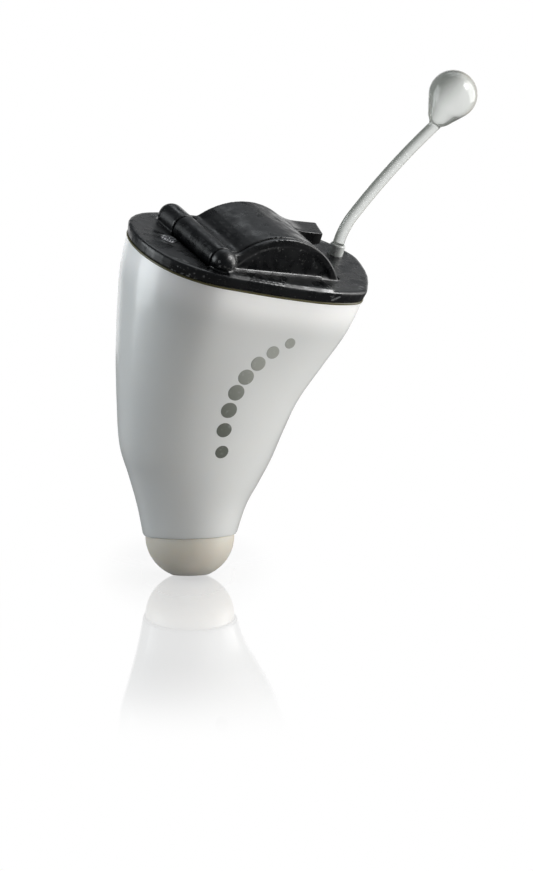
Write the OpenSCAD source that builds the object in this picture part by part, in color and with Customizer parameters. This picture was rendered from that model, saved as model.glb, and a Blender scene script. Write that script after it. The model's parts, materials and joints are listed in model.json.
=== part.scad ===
// In-the-canal hearing aid: a custom acrylic shell with a faceplate, a hinged battery
// door, a clear removal line and the working parts inside. Millimetres. The origin is
// the middle of the shell's rim, +Z points out of the ear, +X from hinge to nail lip.

/* [Faceplate] */
// Length of the faceplate from hinge side to lip side
plate_l = 14.6; // [14.4:0.1:16]
// Width of the faceplate
plate_w = 9.8; // [9.7:0.1:11]
// Height of the faceplate's top face above the shell rim
plate_t = 0.8; // [0.75:0.01:0.85]
// Radius that rounds the faceplate's top edge
plate_edge_r = 0.16; // [0.1:0.01:0.2]
// Height of the raised ledge in front of the fixed cheek
ledge_h = 0.1; // [0.05:0.01:0.15]
// Right-hand end of the raised ledge
ledge_end_x = 2.6; // [2:0.1:3]
// Thickness of the adhesive between shell and faceplate
bond_t = 0.12; // [0.08:0.01:0.16]

/* [Shell] */
// Depth of the shell from its rim to the canal end
shell_depth = 15.6; // [15.4:0.1:18.5]
// Thickness of the shell wall
shell_wall = 0.6; // [0.5:0.02:0.62]
// Diameter of the shell at the canal end
tip_d = 5.2; // [5.15:0.05:5.6]
// Lean of the canal end from straight down, in degrees
canal_tilt = 22; // [20:0.5:23]
// Direction of that lean seen from above, in degrees from the lip side
canal_turn = -67; // [-70:1:-64]
// Thickness of solid acrylic at the canal end
tip_floor_t = 1.6; // [1.5:0.05:1.9]

/* [Tip cap] */
// Diameter of the soft tip cap
cap_d = 4.95; // [4.85:0.01:5.1]
// Length of the tip cap beyond the shell
cap_l = 2.45; // [2.35:0.05:2.8]
// Straight part of the tip cap before its dome
cap_straight = 0.1; // [0.05:0.01:0.2]
// Diameter of the cap's spigot inside the shell
spigot_d = 2; // [1.94:0.02:2.04]
// Length of the cap's spigot
spigot_l = 1; // [0.8:0.05:1.2]

/* [Battery] */
// Diameter of the size 10 cell
can_d = 5.8; // [5.7:0.02:5.84]
// Thickness of the size 10 cell
can_t = 3.6; // [3.5:0.02:3.64]
// Distance of the cell's middle below the shell rim
cell_drop = 0.55; // [0.5:0.01:0.65]
// Distance of the cell's middle from the origin, towards the hinge
cell_back = 0.25; // [0.2:0.01:0.3]
// Free space round the cell in its cradle
cell_gap = 0.05; // [0.03:0.01:0.07]
// Thickness of the sheet metal of the cell
can_wall = 0.15; // [0.1:0.01:0.2]

/* [Battery door] */
// Radius of the door's arched back
arch_r = 4.4; // [4.35:0.01:4.5]
// Depth of the arch's centre below the shell rim
arch_drop = 1.45; // [1.42:0.01:1.48]
// Thickness of the door's front wall
door_wall_t = 0.6; // [0.55:0.01:0.62]
// Width of the door behind the cell
door_back_t = 0.75; // [0.7:0.01:0.8]
// Thickness of the cradle ring round the cell
cradle_t = 0.35; // [0.25:0.01:0.36]
// Gap between the door and its fixed neighbours
door_gap = 0.08; // [0.06:0.01:0.1]
// Reach of the door's free end from the hinge axis
door_reach = 7.68; // [7.64:0.01:7.7]
// Gap at the free end of the door
end_gap = 0.32; // [0.28:0.01:0.36]
// Top of the nail lip above the shell rim
lip_top = 2.1; // [2:0.05:2.2]
// Length of the nail lip beyond the arch
lip_end_x = 4.9; // [4.7:0.05:5]
// Width of the nail lip
lip_w = 1.65; // [1.4:0.05:1.8]
// Thickness of the nail lip at its end
lip_t = 0.6; // [0.5:0.05:0.7]

/* [Hinge] */
// Distance of the hinge axis from the origin
hinge_back = 3.85; // [3.8:0.01:3.9]
// Height of the hinge axis above the shell rim
hinge_rise = 1.2; // [1.15:0.01:1.25]
// Diameter of the hinge barrel
barrel_d = 1.5; // [1.44:0.01:1.54]
// Diameter of the hinge pin
pin_d = 0.44; // [0.4:0.01:0.5]
// Running clearance of the pin in the barrel, on the radius
pin_gap = 0.03; // [0.02:0.005:0.04]
// Radius of the hollow between barrel and arch
valley_r = 0.6; // [0.5:0.05:0.7]
// Length of the far hinge ear before its domed end
far_ear_l = 1.5; // [1.3:0.05:1.6]
// Length of the near hinge ear before its domed end
near_ear_l = 0.14; // [0.1:0.01:0.2]

/* [Fixed cheek] */
// Distance of the cheek's front face from the origin
cheek_front = 3.12; // [3.1:0.01:3.14]
// Thickness of the cheek
cheek_t = 0.34; // [0.32:0.01:0.36]
// Width of the cheek's raised rim
cheek_rim_w = 0.42; // [0.36:0.02:0.5]
// Depth of the cheek's sunken face
cheek_recess = 0.08; // [0.05:0.01:0.1]

/* [Removal line] */
// Diameter of the clear removal line
line_d = 0.65; // [0.6:0.01:0.7]
// Distance of the line from the lip end of the faceplate
line_inset = 1.38; // [1.35:0.01:1.45]
// Distance of the line from the origin towards the rear
line_y = 1; // [0.9:0.05:1.2]
// Height at which the line starts to bend
line_straight_z = 1.5; // [1.45:0.05:1.7]
// Radius of the line's lower bend
line_bend_r = 4.1; // [3.8:0.1:4.6]
// Turn of the line's lower bend, in degrees
line_bend_turn = 25; // [22:0.5:27]
// Radius of the line's long upper bend
line_long_r = 34.6; // [33:0.1:36]
// Turn of the line's long upper bend, in degrees
line_long_turn = 11; // [10:0.5:12]
// Diameter of the collar at the foot of the line
collar_d = 0.86; // [0.8:0.01:0.95]
// Height of the collar
collar_h = 0.65; // [0.5:0.01:0.65]
// Diameter of the knob's round end
knob_d = 2.74; // [2.6:0.02:2.9]
// Distance from the end of the line to the knob's centre
knob_neck = 2.11; // [2.05:0.01:2.2]
// Diameter of the knob where it meets the line
knob_root_d = 0.74; // [0.7:0.01:0.8]
// Lean of the knob from upright, in degrees
knob_tilt = 17; // [14:0.5:20]

/* [Microphone] */
// Distance of the sound port from the origin towards the rear
port_y = 0.85; // [0.8:0.01:0.9]
// Diameter of the sound port
port_d = 0.6; // [0.5:0.02:0.64]
// Diameter of the screen over the port
screen_d = 1; // [0.9:0.02:1.04]
// Thickness of the port screen
screen_t = 0.08; // [0.06:0.01:0.1]
// Length of the microphone case
mic_l = 2.6; // [2.4:0.05:2.65]
// Free space beside the microphone case, towards the bay and the shell
mic_gap = 0.29; // [0.28:0.01:0.32]
// Height of the microphone case
mic_h = 1.25; // [1.1:0.05:1.3]
// Height of the rubber grommet between microphone and faceplate
grommet_h = 0.57; // [0.5:0.01:0.6]

/* [Receiver] */
// Breadth of the receiver case
receiver_w = 3; // [2.9:0.02:3.04]
// Height of the receiver case
receiver_h = 2.2; // [2.1:0.02:2.24]
// Sheet thickness of the receiver case
receiver_wall = 0.2; // [0.15:0.01:0.22]
// Distance from the canal end of the shell to the receiver
receiver_back = 3.6; // [3.5:0.05:3.7]
// Wall of the rubber boot round the receiver
boot_t = 0.25; // [0.2:0.01:0.26]
// Outer diameter of the sound tube
tube_d = 1.5; // [1.44:0.01:1.52]
// Bore of the sound tube
tube_bore_d = 0.9; // [0.86:0.01:0.94]

/* [Wax guard] */
// Diameter of the wax guard's flange
guard_flange_d = 2.1; // [2:0.01:2.12]
// Thickness of the wax guard's flange
guard_flange_t = 0.25; // [0.2:0.01:0.28]
// Diameter of the wax guard's barrel
guard_d = 1.52; // [1.5:0.005:1.53]
// Sound bore of the wax guard
guard_bore_d = 1; // [0.9:0.01:1.04]

/* [Vent] */
// Bore of the vent tube
vent_bore_d = 0.6; // [0.54:0.01:0.62]
// Outer diameter of the vent tube
vent_tube_d = 1; // [0.94:0.01:1.02]
// Diameter of the vent's mouth in the faceplate
vent_mouth_d = 0.8; // [0.7:0.02:0.84]
// Free space between the vent tube and the battery bay
vent_gap = 0.24; // [0.2:0.01:0.3]
// Distance of the vent from the canal axis at the tip
vent_offset = 1.45; // [1.44:0.005:1.46]

/* [Electronics] */
// Wall of the battery bay
bay_wall = 0.25; // [0.2:0.01:0.26]
// Free height under the cell's cradle in the bay
bay_clear = 0.05; // [0.05:0.01:0.1]
// Length of the amplifier board
board_l = 5.2; // [5:0.05:5.3]
// Width of the amplifier board
board_w = 3; // [2.8:0.05:3.05]
// Thickness of the amplifier board
board_t = 0.4; // [0.3:0.02:0.44]
// Thickness of the foam pad over the board
pad_t = 0.2; // [0.15:0.01:0.25]
// Thickness of the battery contacts
leaf_t = 0.1; // [0.08:0.005:0.11]
// Width of the battery contacts
leaf_w = 1.8; // [1.6:0.05:2]
// Diameter of the connecting wires
wire_d = 0.16; // [0.12:0.01:0.18]

/* [Fits] */
// Clearance of bonded and pressed pieces, on the radius
bond_gap = 0.02; // [0.01:0.005:0.03]

/* [Hidden] */
$fn = 48;

// One overrun for every cut that passes through a face
cut = 0.5;
// Smallest division that still counts as one step along a curve
tiny_share = 0.000001;

// Faceplate outline, counter-clockwise from the lip side, as shares of half the
// length and half the width
outline_shares = [
    [1, 0.15], [0.965, 0.38], [0.87, 0.61], [0.7, 0.8], [0.4, 0.94],
    [0, 1], [-0.4, 1.01], [-0.66, 0.94], [-0.85, 0.74], [-0.955, 0.45],
    [-0.995, 0.1], [-0.965, -0.25], [-0.86, -0.55], [-0.66, -0.77], [-0.36, -0.88],
    [-0.04, -0.96], [0.3, -0.995], [0.54, -0.95], [0.69, -0.86], [0.79, -0.66],
    [0.92, -0.3]
];
// Points round each ring of the shell and the faceplate
ring_points = 56;
// Rings along the outside and the inside of the shell
outer_rings = 22;
inner_rings = 14;
// Length and width of the shell's rim as shares of the faceplate
rim_l_share = 0.985;
rim_w_share = 0.98;
rim_l = plate_l * rim_l_share;
rim_w = plate_w * rim_w_share;
tip_r = tip_d / 2;
// Place of the canal end, as shares of the rim's length and width
tip_x_share = 0.0216;
tip_y_share = -0.1875;
tip_x = rim_l * tip_x_share;
tip_y = rim_w * tip_y_share;
// Stations down the shell: depth, middle along the length, middle across the width,
// length, width, roundness and lean, each as a share
station_shares = [
    [0, 0, 0, 1, 1, 0, 0],
    [0.128, -0.009, -0.002, 0.96, 0.99, 0.08, 0],
    [0.256, -0.026, -0.01, 0.87, 0.958, 0.2, 0],
    [0.417, -0.038, -0.026, 0.764, 0.896, 0.42, 0.14],
    [0.577, -0.031, -0.052, 0.687, 0.812, 0.68, 0.32],
    [0.705, -0.02, -0.083, 0.623, 0.729, 0.86, 0.55],
    [0.801, -0.003, -0.109, 0.527, 0.667, 0.95, 0.73],
    [0.897, 0.007, -0.146, 0.431, 0.594, 1, 0.91]
];
// Share of the outer stations that the hollow follows before its floor
hollow_share = 0.88;

hinge_x = -hinge_back;
barrel_r = barrel_d / 2;
pin_r = pin_d / 2;
ear_gap_r = barrel_r + door_gap;
cell_r = can_d / 2;
cell_x = -cell_back;
cell_z = -cell_drop;
pocket_r = cell_r + cell_gap;
cradle_r = pocket_r + cradle_t;
// Middle of the arch, straight above the cell's place as a share of the arch
arch_x_share = 0.012;
arch_x = arch_r * arch_x_share;
arch_z = -arch_drop;
cheek_front_y = -cheek_front;
cheek_rear_y = cheek_front_y + cheek_t;
door_front_y = cheek_rear_y + door_gap;
door_w = door_wall_t + can_t + door_back_t;
door_rear_y = door_front_y + door_w;
cell_front_y = door_front_y + door_wall_t;
cell_rear_y = cell_front_y + can_t;
opening_rear_y = door_rear_y + door_gap;
opening_reach = door_reach + end_gap;
// Left side of the door as a share of the barrel's radius from the hinge axis
door_left_share = 0.29;
door_left_x = hinge_x + barrel_r * door_left_share;
opening_left_x = door_left_x - door_gap;
near_ear_y = cheek_rear_y;
near_dome_y = near_ear_y - near_ear_l;
// Front end of the far ear, as a share of the door's width
far_ear_share = 0.889;
far_ear_y = door_front_y + door_w * far_ear_share;
far_dome_y = far_ear_y + far_ear_l;
knuckle_rear_y = far_ear_y - door_gap;

// Places along the canal axis count outwards from the end of the shell
cap_r = cap_d / 2;
spigot_r = spigot_d / 2;
tube_r = tube_d / 2;
tube_bore_r = tube_bore_d / 2;
guard_r = guard_d / 2;
guard_bore_r = guard_bore_d / 2;
guard_flange_r = guard_flange_d / 2;
flange_seat_r = guard_flange_r + bond_gap;
// Angle on the dome at which its flat round the wax guard starts
dome_end = acos(flange_seat_r / cap_r);
guard_face = cap_straight + (cap_l - cap_straight) * sin(dome_end);
guard_seat = guard_face - guard_flange_t;
// Inner end of the wax guard and outer end of the sound tube, as shares of the cap
guard_start_share = 0.31;
tube_end_share = 0.265;
guard_start = cap_l * guard_start_share;
tube_end = cap_l * tube_end_share;
// Ledge under the wax guard's screen, as a share of its bore
guard_ledge_share = 0.76;
guard_ledge_end = guard_start + guard_flange_t;

bay_floor_z = cell_z - cradle_r - bay_clear;
bay_low_z = bay_floor_z - bay_wall;
bay_left_x = opening_left_x - bay_wall;
bay_front_y = cheek_rear_y - bay_wall;
bay_rear_y = opening_rear_y + bay_wall;
bay_reach = opening_reach + bay_wall;
bay_right_x = hinge_x + sqrt(bay_reach * bay_reach - pow(hinge_rise - bay_low_z, 2));
// Top of the battery contacts and breadth of their tails, as shares of the cell
leaf_top_share = -0.035;
tail_w_share = 0.3;
leaf_top_z = can_d * leaf_top_share;
cradle_room = cradle_r + bay_clear;
leaf_low_z = cell_z - sqrt(cradle_room * cradle_room - leaf_w * leaf_w / 4) + bond_gap;
tail_w = leaf_w * tail_w_share;
positive_y = cell_rear_y + cell_gap - bond_gap;
negative_y = cell_front_y - cell_gap - leaf_t;
board_x = (bay_left_x + bay_right_x) / 2;
board_y = (cell_front_y + cell_rear_y) / 2;
board_top_z = bay_low_z - pad_t;
board_low_z = board_top_z - board_t;
board_mid_z = board_top_z - board_t / 2;
// Heights of the parts under the board, in board thicknesses
chip_h_share = 1.7;
small_h_share = 1.1;
chip_low_z = board_low_z - board_t * chip_h_share;
// Length of the receiver case as a share of the room between chip and canal end
receiver_l_share = 0.706;
receiver_l = ((shell_depth + chip_low_z) / cos(canal_tilt) - receiver_back) * receiver_l_share;

mic_top_z = bond_t - grommet_h;
mic_low_z = mic_top_z - mic_h;
// The port sits towards one end and one side of the microphone
mic_y_share = 0.23;
mic_x_share = 0.15;
mic_y = port_y - mic_l * mic_y_share;
// Half length of the shell beside the microphone, as a share of half the rim's
mic_reach_share = 0.917;
mic_w = bay_left_x + rim_l / 2 * mic_reach_share - shell_wall - 2 * mic_gap;
mic_x = bay_left_x - mic_gap - mic_w / 2;
port_x = mic_x - mic_w * mic_x_share;

// Ring k round the shell's station row s, drawn in by inset
function spline(a, b, c, d, t) =
    ((2 * b) + (c - a) * t + (2 * a - 5 * b + 4 * c - d) * t * t
        + (3 * b - a - 3 * c + d) * t * t * t) / 2;
function closed_at(list, u) =
    let(n = len(list), i = floor(u * n), t = u * n - i)
    spline(list[(i + n - 1) % n], list[i % n], list[(i + 1) % n], list[(i + 2) % n], t);
function open_at(list, u) =
    let(n = len(list) - 1, v = min(u * n, n - tiny_share), i = floor(v), t = v - i)
    spline(list[max(i - 1, 0)], list[i], list[i + 1], list[min(i + 2, n)], t);
outline = [for (i = [0:ring_points - 1]) closed_at(outline_shares, i / ring_points)];
function rounded(p, s) = let(a = atan2(p[1], p[0])) p * (1 - s) + [cos(a), sin(a)] * s;
last_station = [1, tip_x_share, tip_y_share, tip_d / rim_l, tip_d / rim_w, 1, 1];
stations = concat(station_shares, [last_station]);
// A flat ring's point leaned by t degrees towards canal_turn
function turned(p, a) = [p[0] * cos(a) - p[1] * sin(a), p[0] * sin(a) + p[1] * cos(a)];
function leaned(p, t) =
    let(q = turned(p, -canal_turn), r = turned([q[0] * cos(t), q[1]], canal_turn))
    [r[0], r[1], q[0] * sin(t)];
function station_ring(s, inset) = [
    for (p = outline)
        let(q = rounded(p, s[5]))
        [rim_l * s[1], rim_w * s[2], -shell_depth * s[0]]
            + leaned([q[0] * (rim_l / 2 * s[3] - inset), q[1] * (rim_w / 2 * s[4] - inset)],
                canal_tilt * s[6])
];
// A point of the canal frame: x and y across the shell, w outwards from its end
function canal(x, y, w) =
    [tip_x, tip_y, -shell_depth] + leaned([x, y], canal_tilt)
        + w * concat(turned([sin(canal_tilt), 0], canal_turn), [-cos(canal_tilt)]);
function floor_ring() = [
    for (p = outline)
        let(q = rounded(p, 1) * (tip_r - shell_wall))
        canal(q[0], q[1], -tip_floor_t)
];
function plate_ring(z, share_l, share_w, inset) = [
    for (p = outline)
        [p[0] * (plate_l / 2 * share_l - inset), p[1] * (plate_w / 2 * share_w - inset), z]
];

// Closed skin over a stack of rings
module skin(rings) {
    n = len(rings[0]);
    m = len(rings);
    polyhedron(
        [for (r = rings) each r],
        concat(
            [for (k = [0:m - 2], i = [0:n - 1])
                [k * n + i, k * n + (i + 1) % n, (k + 1) * n + (i + 1) % n]],
            [for (k = [0:m - 2], i = [0:n - 1])
                [k * n + i, (k + 1) * n + (i + 1) % n, (k + 1) * n + i]],
            [[for (i = [n - 1:-1:0]) i]],
            [[for (i = [0:n - 1]) (m - 1) * n + i]]
        ),
        convexity = 8
    );
}

// Solid tube along a path of points
function unit(v) = v / norm(v);
function path_ring(path, k, r, sides) =
    let(
        n = len(path) - 1,
        t = unit(path[min(k + 1, n)] - path[max(k - 1, 0)]),
        u = unit(cross(t, abs(t[1]) < sin(60) ? [0, 1, 0] : [1, 0, 0])),
        v = cross(t, u)
    )
    [for (i = [0:sides - 1])
        path[k] + r * (u * cos(360 * i / sides) - v * sin(360 * i / sides))];
module tube_along(path, r, sides) {
    skin([for (k = [0:len(path) - 1]) path_ring(path, k, r, sides)]);
}
function smooth_path(points, steps) =
    [for (k = [0:steps]) open_at(points, k / steps)];
// Route through points, with its first and last stretch straight
function wire_route(points) =
    let(n = len(points) - 1)
    concat([points[0]], smooth_path([for (k = [1:n - 1]) points[k]], wire_steps), [points[n]]);

// Section drawn in X and Z, raised between two places along Y
module along_y(y0, y1) {
    translate([0, y1, 0])
        rotate([90, 0, 0])
            linear_extrude(y1 - y0)
                children();
}
module hinge_disc(r) {
    translate([hinge_x, hinge_rise])
        circle(r);
}
module cell_disc(r) {
    translate([cell_x, cell_z])
        circle(r);
}
module arch_disc(r) {
    translate([arch_x, arch_z])
        circle(r);
}
// Puts its children on the canal axis, +Z outwards from the shell's end
module on_canal() {
    translate([tip_x, tip_y, -shell_depth])
        rotate([0, 180 - canal_tilt, canal_turn])
            rotate(canal_turn)
                children();
}
module rounded_rect(l, w, r) {
    square([l - 2 * r, w], center = true);
    square([l, w - 2 * r], center = true);
    for (x = [-1, 1], y = [-1, 1])
        translate([x * (l / 2 - r), y * (w / 2 - r)])
            circle(r);
}

// Middle of the circle of radius r that touches the barrel and the arch from above
valley_span = norm([arch_x - hinge_x, arch_z - hinge_rise]);
valley_a = barrel_r + valley_r;
valley_b = arch_r + valley_r;
valley_turn = acos((valley_a * valley_a + valley_span * valley_span - valley_b * valley_b)
    / (2 * valley_a * valley_span)) + atan2(arch_z - hinge_rise, arch_x - hinge_x);
valley_x = hinge_x + valley_a * cos(valley_turn);
valley_z = hinge_rise + valley_a * sin(valley_turn);
module valley_web() {
    difference() {
        polygon([[hinge_x, hinge_rise], [arch_x, arch_z], [valley_x, valley_z]]);
        translate([valley_x, valley_z])
            circle(valley_r);
    }
}

// Nail lip: a hollow of radius lip_hollow_r runs from the arch to the flat top
lip_hollow_share = 0.68;
lip_hollow_r = arch_r * lip_hollow_share;
lip_hollow_z = lip_top + lip_hollow_r;
lip_hollow_x = arch_x + sqrt(pow(arch_r + lip_hollow_r, 2) - pow(lip_hollow_z - arch_z, 2));
lip_slant_share = 0.27;
lip_slant = lip_w * lip_slant_share;
lip_front_y = door_rear_y - lip_w;
lip_root_x = arch_x + sqrt(arch_r * arch_r - pow(hinge_rise - arch_z, 2)) - door_gap;
module lip_section() {
    difference() {
        polygon([
            [arch_x, arch_z], [lip_hollow_x, lip_hollow_z], [lip_hollow_x, lip_top],
            [lip_end_x, lip_top], [lip_end_x - lip_slant / 2, lip_top - lip_t],
            [lip_root_x, hinge_rise]
        ]);
        translate([lip_hollow_x, lip_hollow_z])
            circle(lip_hollow_r);
    }
}
module nail_lip() {
    intersection() {
        along_y(lip_front_y, door_rear_y)
            difference() {
                lip_section();
                cell_disc(pocket_r);
            }
        linear_extrude(lip_hollow_z)
            polygon([
                [arch_x, lip_front_y], [lip_end_x - lip_slant, lip_front_y],
                [lip_end_x, door_rear_y], [arch_x, door_rear_y]
            ]);
    }
}

module shell() {
    hollow = [
        for (k = [inner_rings - 1:-1:0])
            station_ring(open_at(stations, k * hollow_share / inner_rings), shell_wall)
    ];
    outside = [
        for (k = [0:outer_rings])
            station_ring(k == outer_rings ? last_station : open_at(stations, k / outer_rings), 0)
    ];
    color("gainsboro")
        difference() {
            skin(concat([floor_ring()], hollow, outside));
            on_canal() {
                translate([0, 0, -tip_floor_t - cut])
                    cylinder(r = tube_r + bond_gap, h = tip_floor_t + 2 * cut);
                translate([0, 0, -spigot_l - bond_gap])
                    cylinder(r = spigot_r + bond_gap, h = spigot_l + bond_gap + cut);
                translate([-vent_offset, 0, -tip_floor_t - cut])
                    cylinder(d = vent_bore_d, h = tip_floor_t + 2 * cut);
            }
        }
}

module rim_shape(inset) {
    polygon([for (p = station_ring(stations[0], inset)) [p[0], p[1]]]);
}
module bond_line() {
    color("olive")
        linear_extrude(bond_t)
            difference() {
                rim_shape(0);
                rim_shape(shell_wall);
            }
}

// Steps in the round edges of the faceplate and in the dome of the cap
edge_steps = 3;
dome_steps = 14;
module tip_cap() {
    dome = [
        for (k = [0:dome_steps])
            let(a = dome_end * k / dome_steps)
            [cap_r * cos(a), cap_straight + (cap_l - cap_straight) * sin(a)]
    ];
    color("antiquewhite")
        on_canal()
            difference() {
                union() {
                    rotate_extrude()
                        polygon(concat([[0, 0], [cap_r, 0]], dome, [[0, guard_face]]));
                    translate([0, 0, -spigot_l])
                        cylinder(r = spigot_r, h = spigot_l + cap_straight);
                }
                translate([0, 0, -spigot_l - cut])
                    cylinder(r = guard_r + bond_gap, h = spigot_l + cap_l + 2 * cut);
                translate([0, 0, guard_seat])
                    cylinder(r = flange_seat_r, h = guard_flange_t + cut);
                translate([-vent_offset, 0, -cut])
                    cylinder(d = vent_bore_d, h = cap_l + 2 * cut);
            }
}

line_x = plate_l / 2 - line_inset;
// Seat of the removal line in the faceplate, as a share of its thickness
line_seat_share = 0.35;
line_seat_z = plate_t * line_seat_share;
// Place of the vent's mouth along the faceplate, as a share of its length
vent_x_share = -0.04;
vent_x = plate_l * vent_x_share;
vent_y = bay_rear_y + vent_gap + vent_tube_d / 2;
// Ends of the hinge pin, as shares of the barrel's radius past the two domes' middles
pin_near_share = 0.1;
pin_far_share = 0.85;
pin_near_y = near_dome_y - barrel_r * pin_near_share;
pin_far_y = far_dome_y + barrel_r * pin_far_share;

module plate_slab() {
    top = [
        for (k = [edge_steps:-1:0])
            let(a = 90 * k / edge_steps)
            plate_ring(plate_t - plate_edge_r * (1 - sin(a)), 1, 1, plate_edge_r * (1 - cos(a)))
    ];
    skin(concat(top, [plate_ring(bond_t, rim_l_share, rim_w_share, 0)]));
}
module ledge() {
    intersection() {
        linear_extrude(plate_t + ledge_h)
            polygon([for (p = plate_ring(0, 1, 1, plate_edge_r)) [p[0], p[1]]]);
        translate([hinge_x, -plate_w, plate_t - plate_edge_r])
            cube([ledge_end_x - hinge_x, plate_w + cheek_front_y + cheek_recess, plate_t]);
    }
}
module opening_section() {
    intersection() {
        hinge_disc(opening_reach);
        translate([opening_left_x, bay_floor_z])
            square([opening_reach, plate_t - bay_floor_z + cut]);
    }
}
module above_plate() {
    translate([hinge_x, plate_t - plate_edge_r])
        square([2 * arch_r, 2 * arch_r]);
}
module cheek() {
    difference() {
        along_y(cheek_front_y, cheek_rear_y)
            intersection() {
                union() {
                    arch_disc(arch_r);
                    valley_web();
                }
                above_plate();
            }
        along_y(cheek_front_y - cut, cheek_front_y + cheek_recess)
            intersection() {
                arch_disc(arch_r - cheek_rim_w);
                translate([hinge_x, plate_t + ledge_h])
                    square([2 * arch_r, 2 * arch_r]);
            }
    }
}
module hinge_ears() {
    along_y(near_dome_y, near_ear_y)
        hinge_disc(barrel_r);
    along_y(far_ear_y, far_dome_y)
        hinge_disc(barrel_r);
    for (y = [near_dome_y, far_dome_y])
        translate([hinge_x, y, hinge_rise])
            sphere(barrel_r);
}
module faceplate() {
    color("dimgray")
        difference() {
            union() {
                difference() {
                    plate_slab();
                    along_y(cheek_rear_y, opening_rear_y)
                        opening_section();
                    along_y(near_ear_y, far_ear_y)
                        hinge_disc(ear_gap_r);
                }
                ledge();
                cheek();
                difference() {
                    hinge_ears();
                    along_y(near_ear_y, far_ear_y)
                        hinge_disc(ear_gap_r);
                }
            }
            along_y(pin_near_y, far_dome_y + 2 * barrel_r)
                hinge_disc(pin_r + bond_gap);
            translate([port_x, port_y, 0]) {
                cylinder(d = port_d, h = plate_t + cut);
                translate([0, 0, plate_t - screen_t])
                    cylinder(r = screen_d / 2 + bond_gap, h = screen_t + cut);
            }
            translate([vent_x, vent_y, 0])
                cylinder(d = vent_mouth_d, h = plate_t + cut);
            translate([line_x, line_y, line_seat_z])
                cylinder(r = line_d / 2 + bond_gap, h = plate_t + cut);
        }
}
module hinge_pin() {
    color("silver")
        along_y(pin_near_y + bond_gap, pin_far_y)
            hinge_disc(pin_r);
}

// Holes of the port screen: one in the middle and a ring of them
screen_holes = 6;
screen_hole_share = 0.15;
screen_ring_share = 0.29;
module sieve(d, h) {
    difference() {
        cylinder(d = d, h = h);
        for (k = [0:screen_holes])
            rotate(k * 360 / screen_holes)
                translate([k == 0 ? 0 : d * screen_ring_share, 0, -cut])
                    cylinder(d = d * screen_hole_share, h = h + 2 * cut);
    }
}
module port_screen() {
    color("slategray")
        translate([port_x, port_y, plate_t - screen_t])
            sieve(screen_d, screen_t);
}

// Corner rounding of the small cases, as a share of their width
corner_share = 0.12;
module microphone() {
    color("silver")
        difference() {
            translate([mic_x, mic_y, mic_low_z])
                linear_extrude(mic_h)
                    rounded_rect(mic_w, mic_l, mic_w * corner_share);
            translate([port_x, port_y, mic_top_z - mic_h / 3])
                cylinder(d = port_d, h = mic_h);
        }
}
// Outer diameter of the grommet in port diameters
grommet_share = 2.1;
module microphone_grommet() {
    color("black")
        translate([port_x, port_y, mic_top_z])
            difference() {
                cylinder(d = port_d * grommet_share, h = grommet_h);
                translate([0, 0, -cut])
                    cylinder(d = port_d, h = grommet_h + 2 * cut);
            }
}

// Keeps a section inside the round corner below the cell on the hinge side
module round_corner(r) {
    intersection() {
        children();
        union() {
            cell_disc(r);
            translate([cell_x, -2 * r])
                square([2 * opening_reach, 4 * r]);
            translate([bay_left_x, cell_z])
                square([2 * opening_reach, 2 * r]);
        }
    }
}
module bay_section() {
    intersection() {
        hinge_disc(bay_reach);
        translate([bay_left_x, bay_low_z])
            square([bay_reach, bond_t - bay_low_z]);
    }
}
module battery_bay() {
    color("darkslategray")
        difference() {
            along_y(bay_front_y, bay_rear_y)
                round_corner(cradle_room + bay_wall)
                    bay_section();
            along_y(cheek_rear_y, opening_rear_y)
                round_corner(cradle_room)
                    opening_section();
            for (y = [positive_y, negative_y])
                translate([cell_x - tail_w / 2 - bond_gap, y - bond_gap, bay_low_z - cut])
                    cube([tail_w + 2 * bond_gap, leaf_t + 2 * bond_gap, bay_wall + 2 * cut]);
        }
}
module contact(y) {
    color("gold")
        translate([cell_x, y, 0]) {
            translate([-leaf_w / 2, 0, leaf_low_z])
                cube([leaf_w, leaf_t, leaf_top_z - leaf_low_z]);
            translate([-tail_w / 2, 0, board_low_z])
                cube([tail_w, leaf_t, leaf_top_z - board_low_z]);
        }
}
module positive_contact() {
    contact(positive_y);
}
module negative_contact() {
    contact(negative_y);
}

// A flat piece on the board's underside, placed and sized by shares of the board
module on_board(x_share, y_share, l_share, w_share, h) {
    translate([board_x + board_l * x_share, board_y + board_w * y_share, board_low_z - h])
        linear_extrude(h)
            rounded_rect(board_l * l_share, board_w * w_share, board_w * w_share * corner_share);
}
pad_inset_share = 0.88;
module board_pad() {
    color("dimgray")
        translate([board_x, board_y, board_top_z])
            linear_extrude(pad_t)
                square([board_l, board_w] * pad_inset_share, center = true);
}
module amplifier_board() {
    color("seagreen")
        translate([board_x, board_y, board_low_z])
            linear_extrude(board_t)
                rounded_rect(board_l, board_w, board_w * corner_share);
}
module amplifier_chip() {
    color("darkslategray")
        on_board(-0.2, 0.12, 0.5, 0.6, board_t * chip_h_share);
}
module memory_chip() {
    color("darkslategray")
        on_board(0.2, 0.2, 0.2, 0.34, board_t * small_h_share);
}
capacitor_x_shares = [-0.38, -0.18, 0.02];
module capacitors() {
    color("tan")
        for (x = capacitor_x_shares)
            on_board(x, -0.36, 0.15, 0.16, board_t * small_h_share);
}

receiver_low = -receiver_back - receiver_l;
module receiver_box(grow, w0, w1) {
    translate([0, 0, w0])
        linear_extrude(w1 - w0)
            rounded_rect(
                receiver_w + 2 * grow, receiver_h + 2 * grow, receiver_h * corner_share + grow
            );
}
cover_y = receiver_h / 2 - receiver_wall;
module cover_space() {
    translate([-receiver_w / 2, cover_y, receiver_low - cut])
        cube([receiver_w, receiver_w, receiver_l + 2 * cut]);
}
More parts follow.
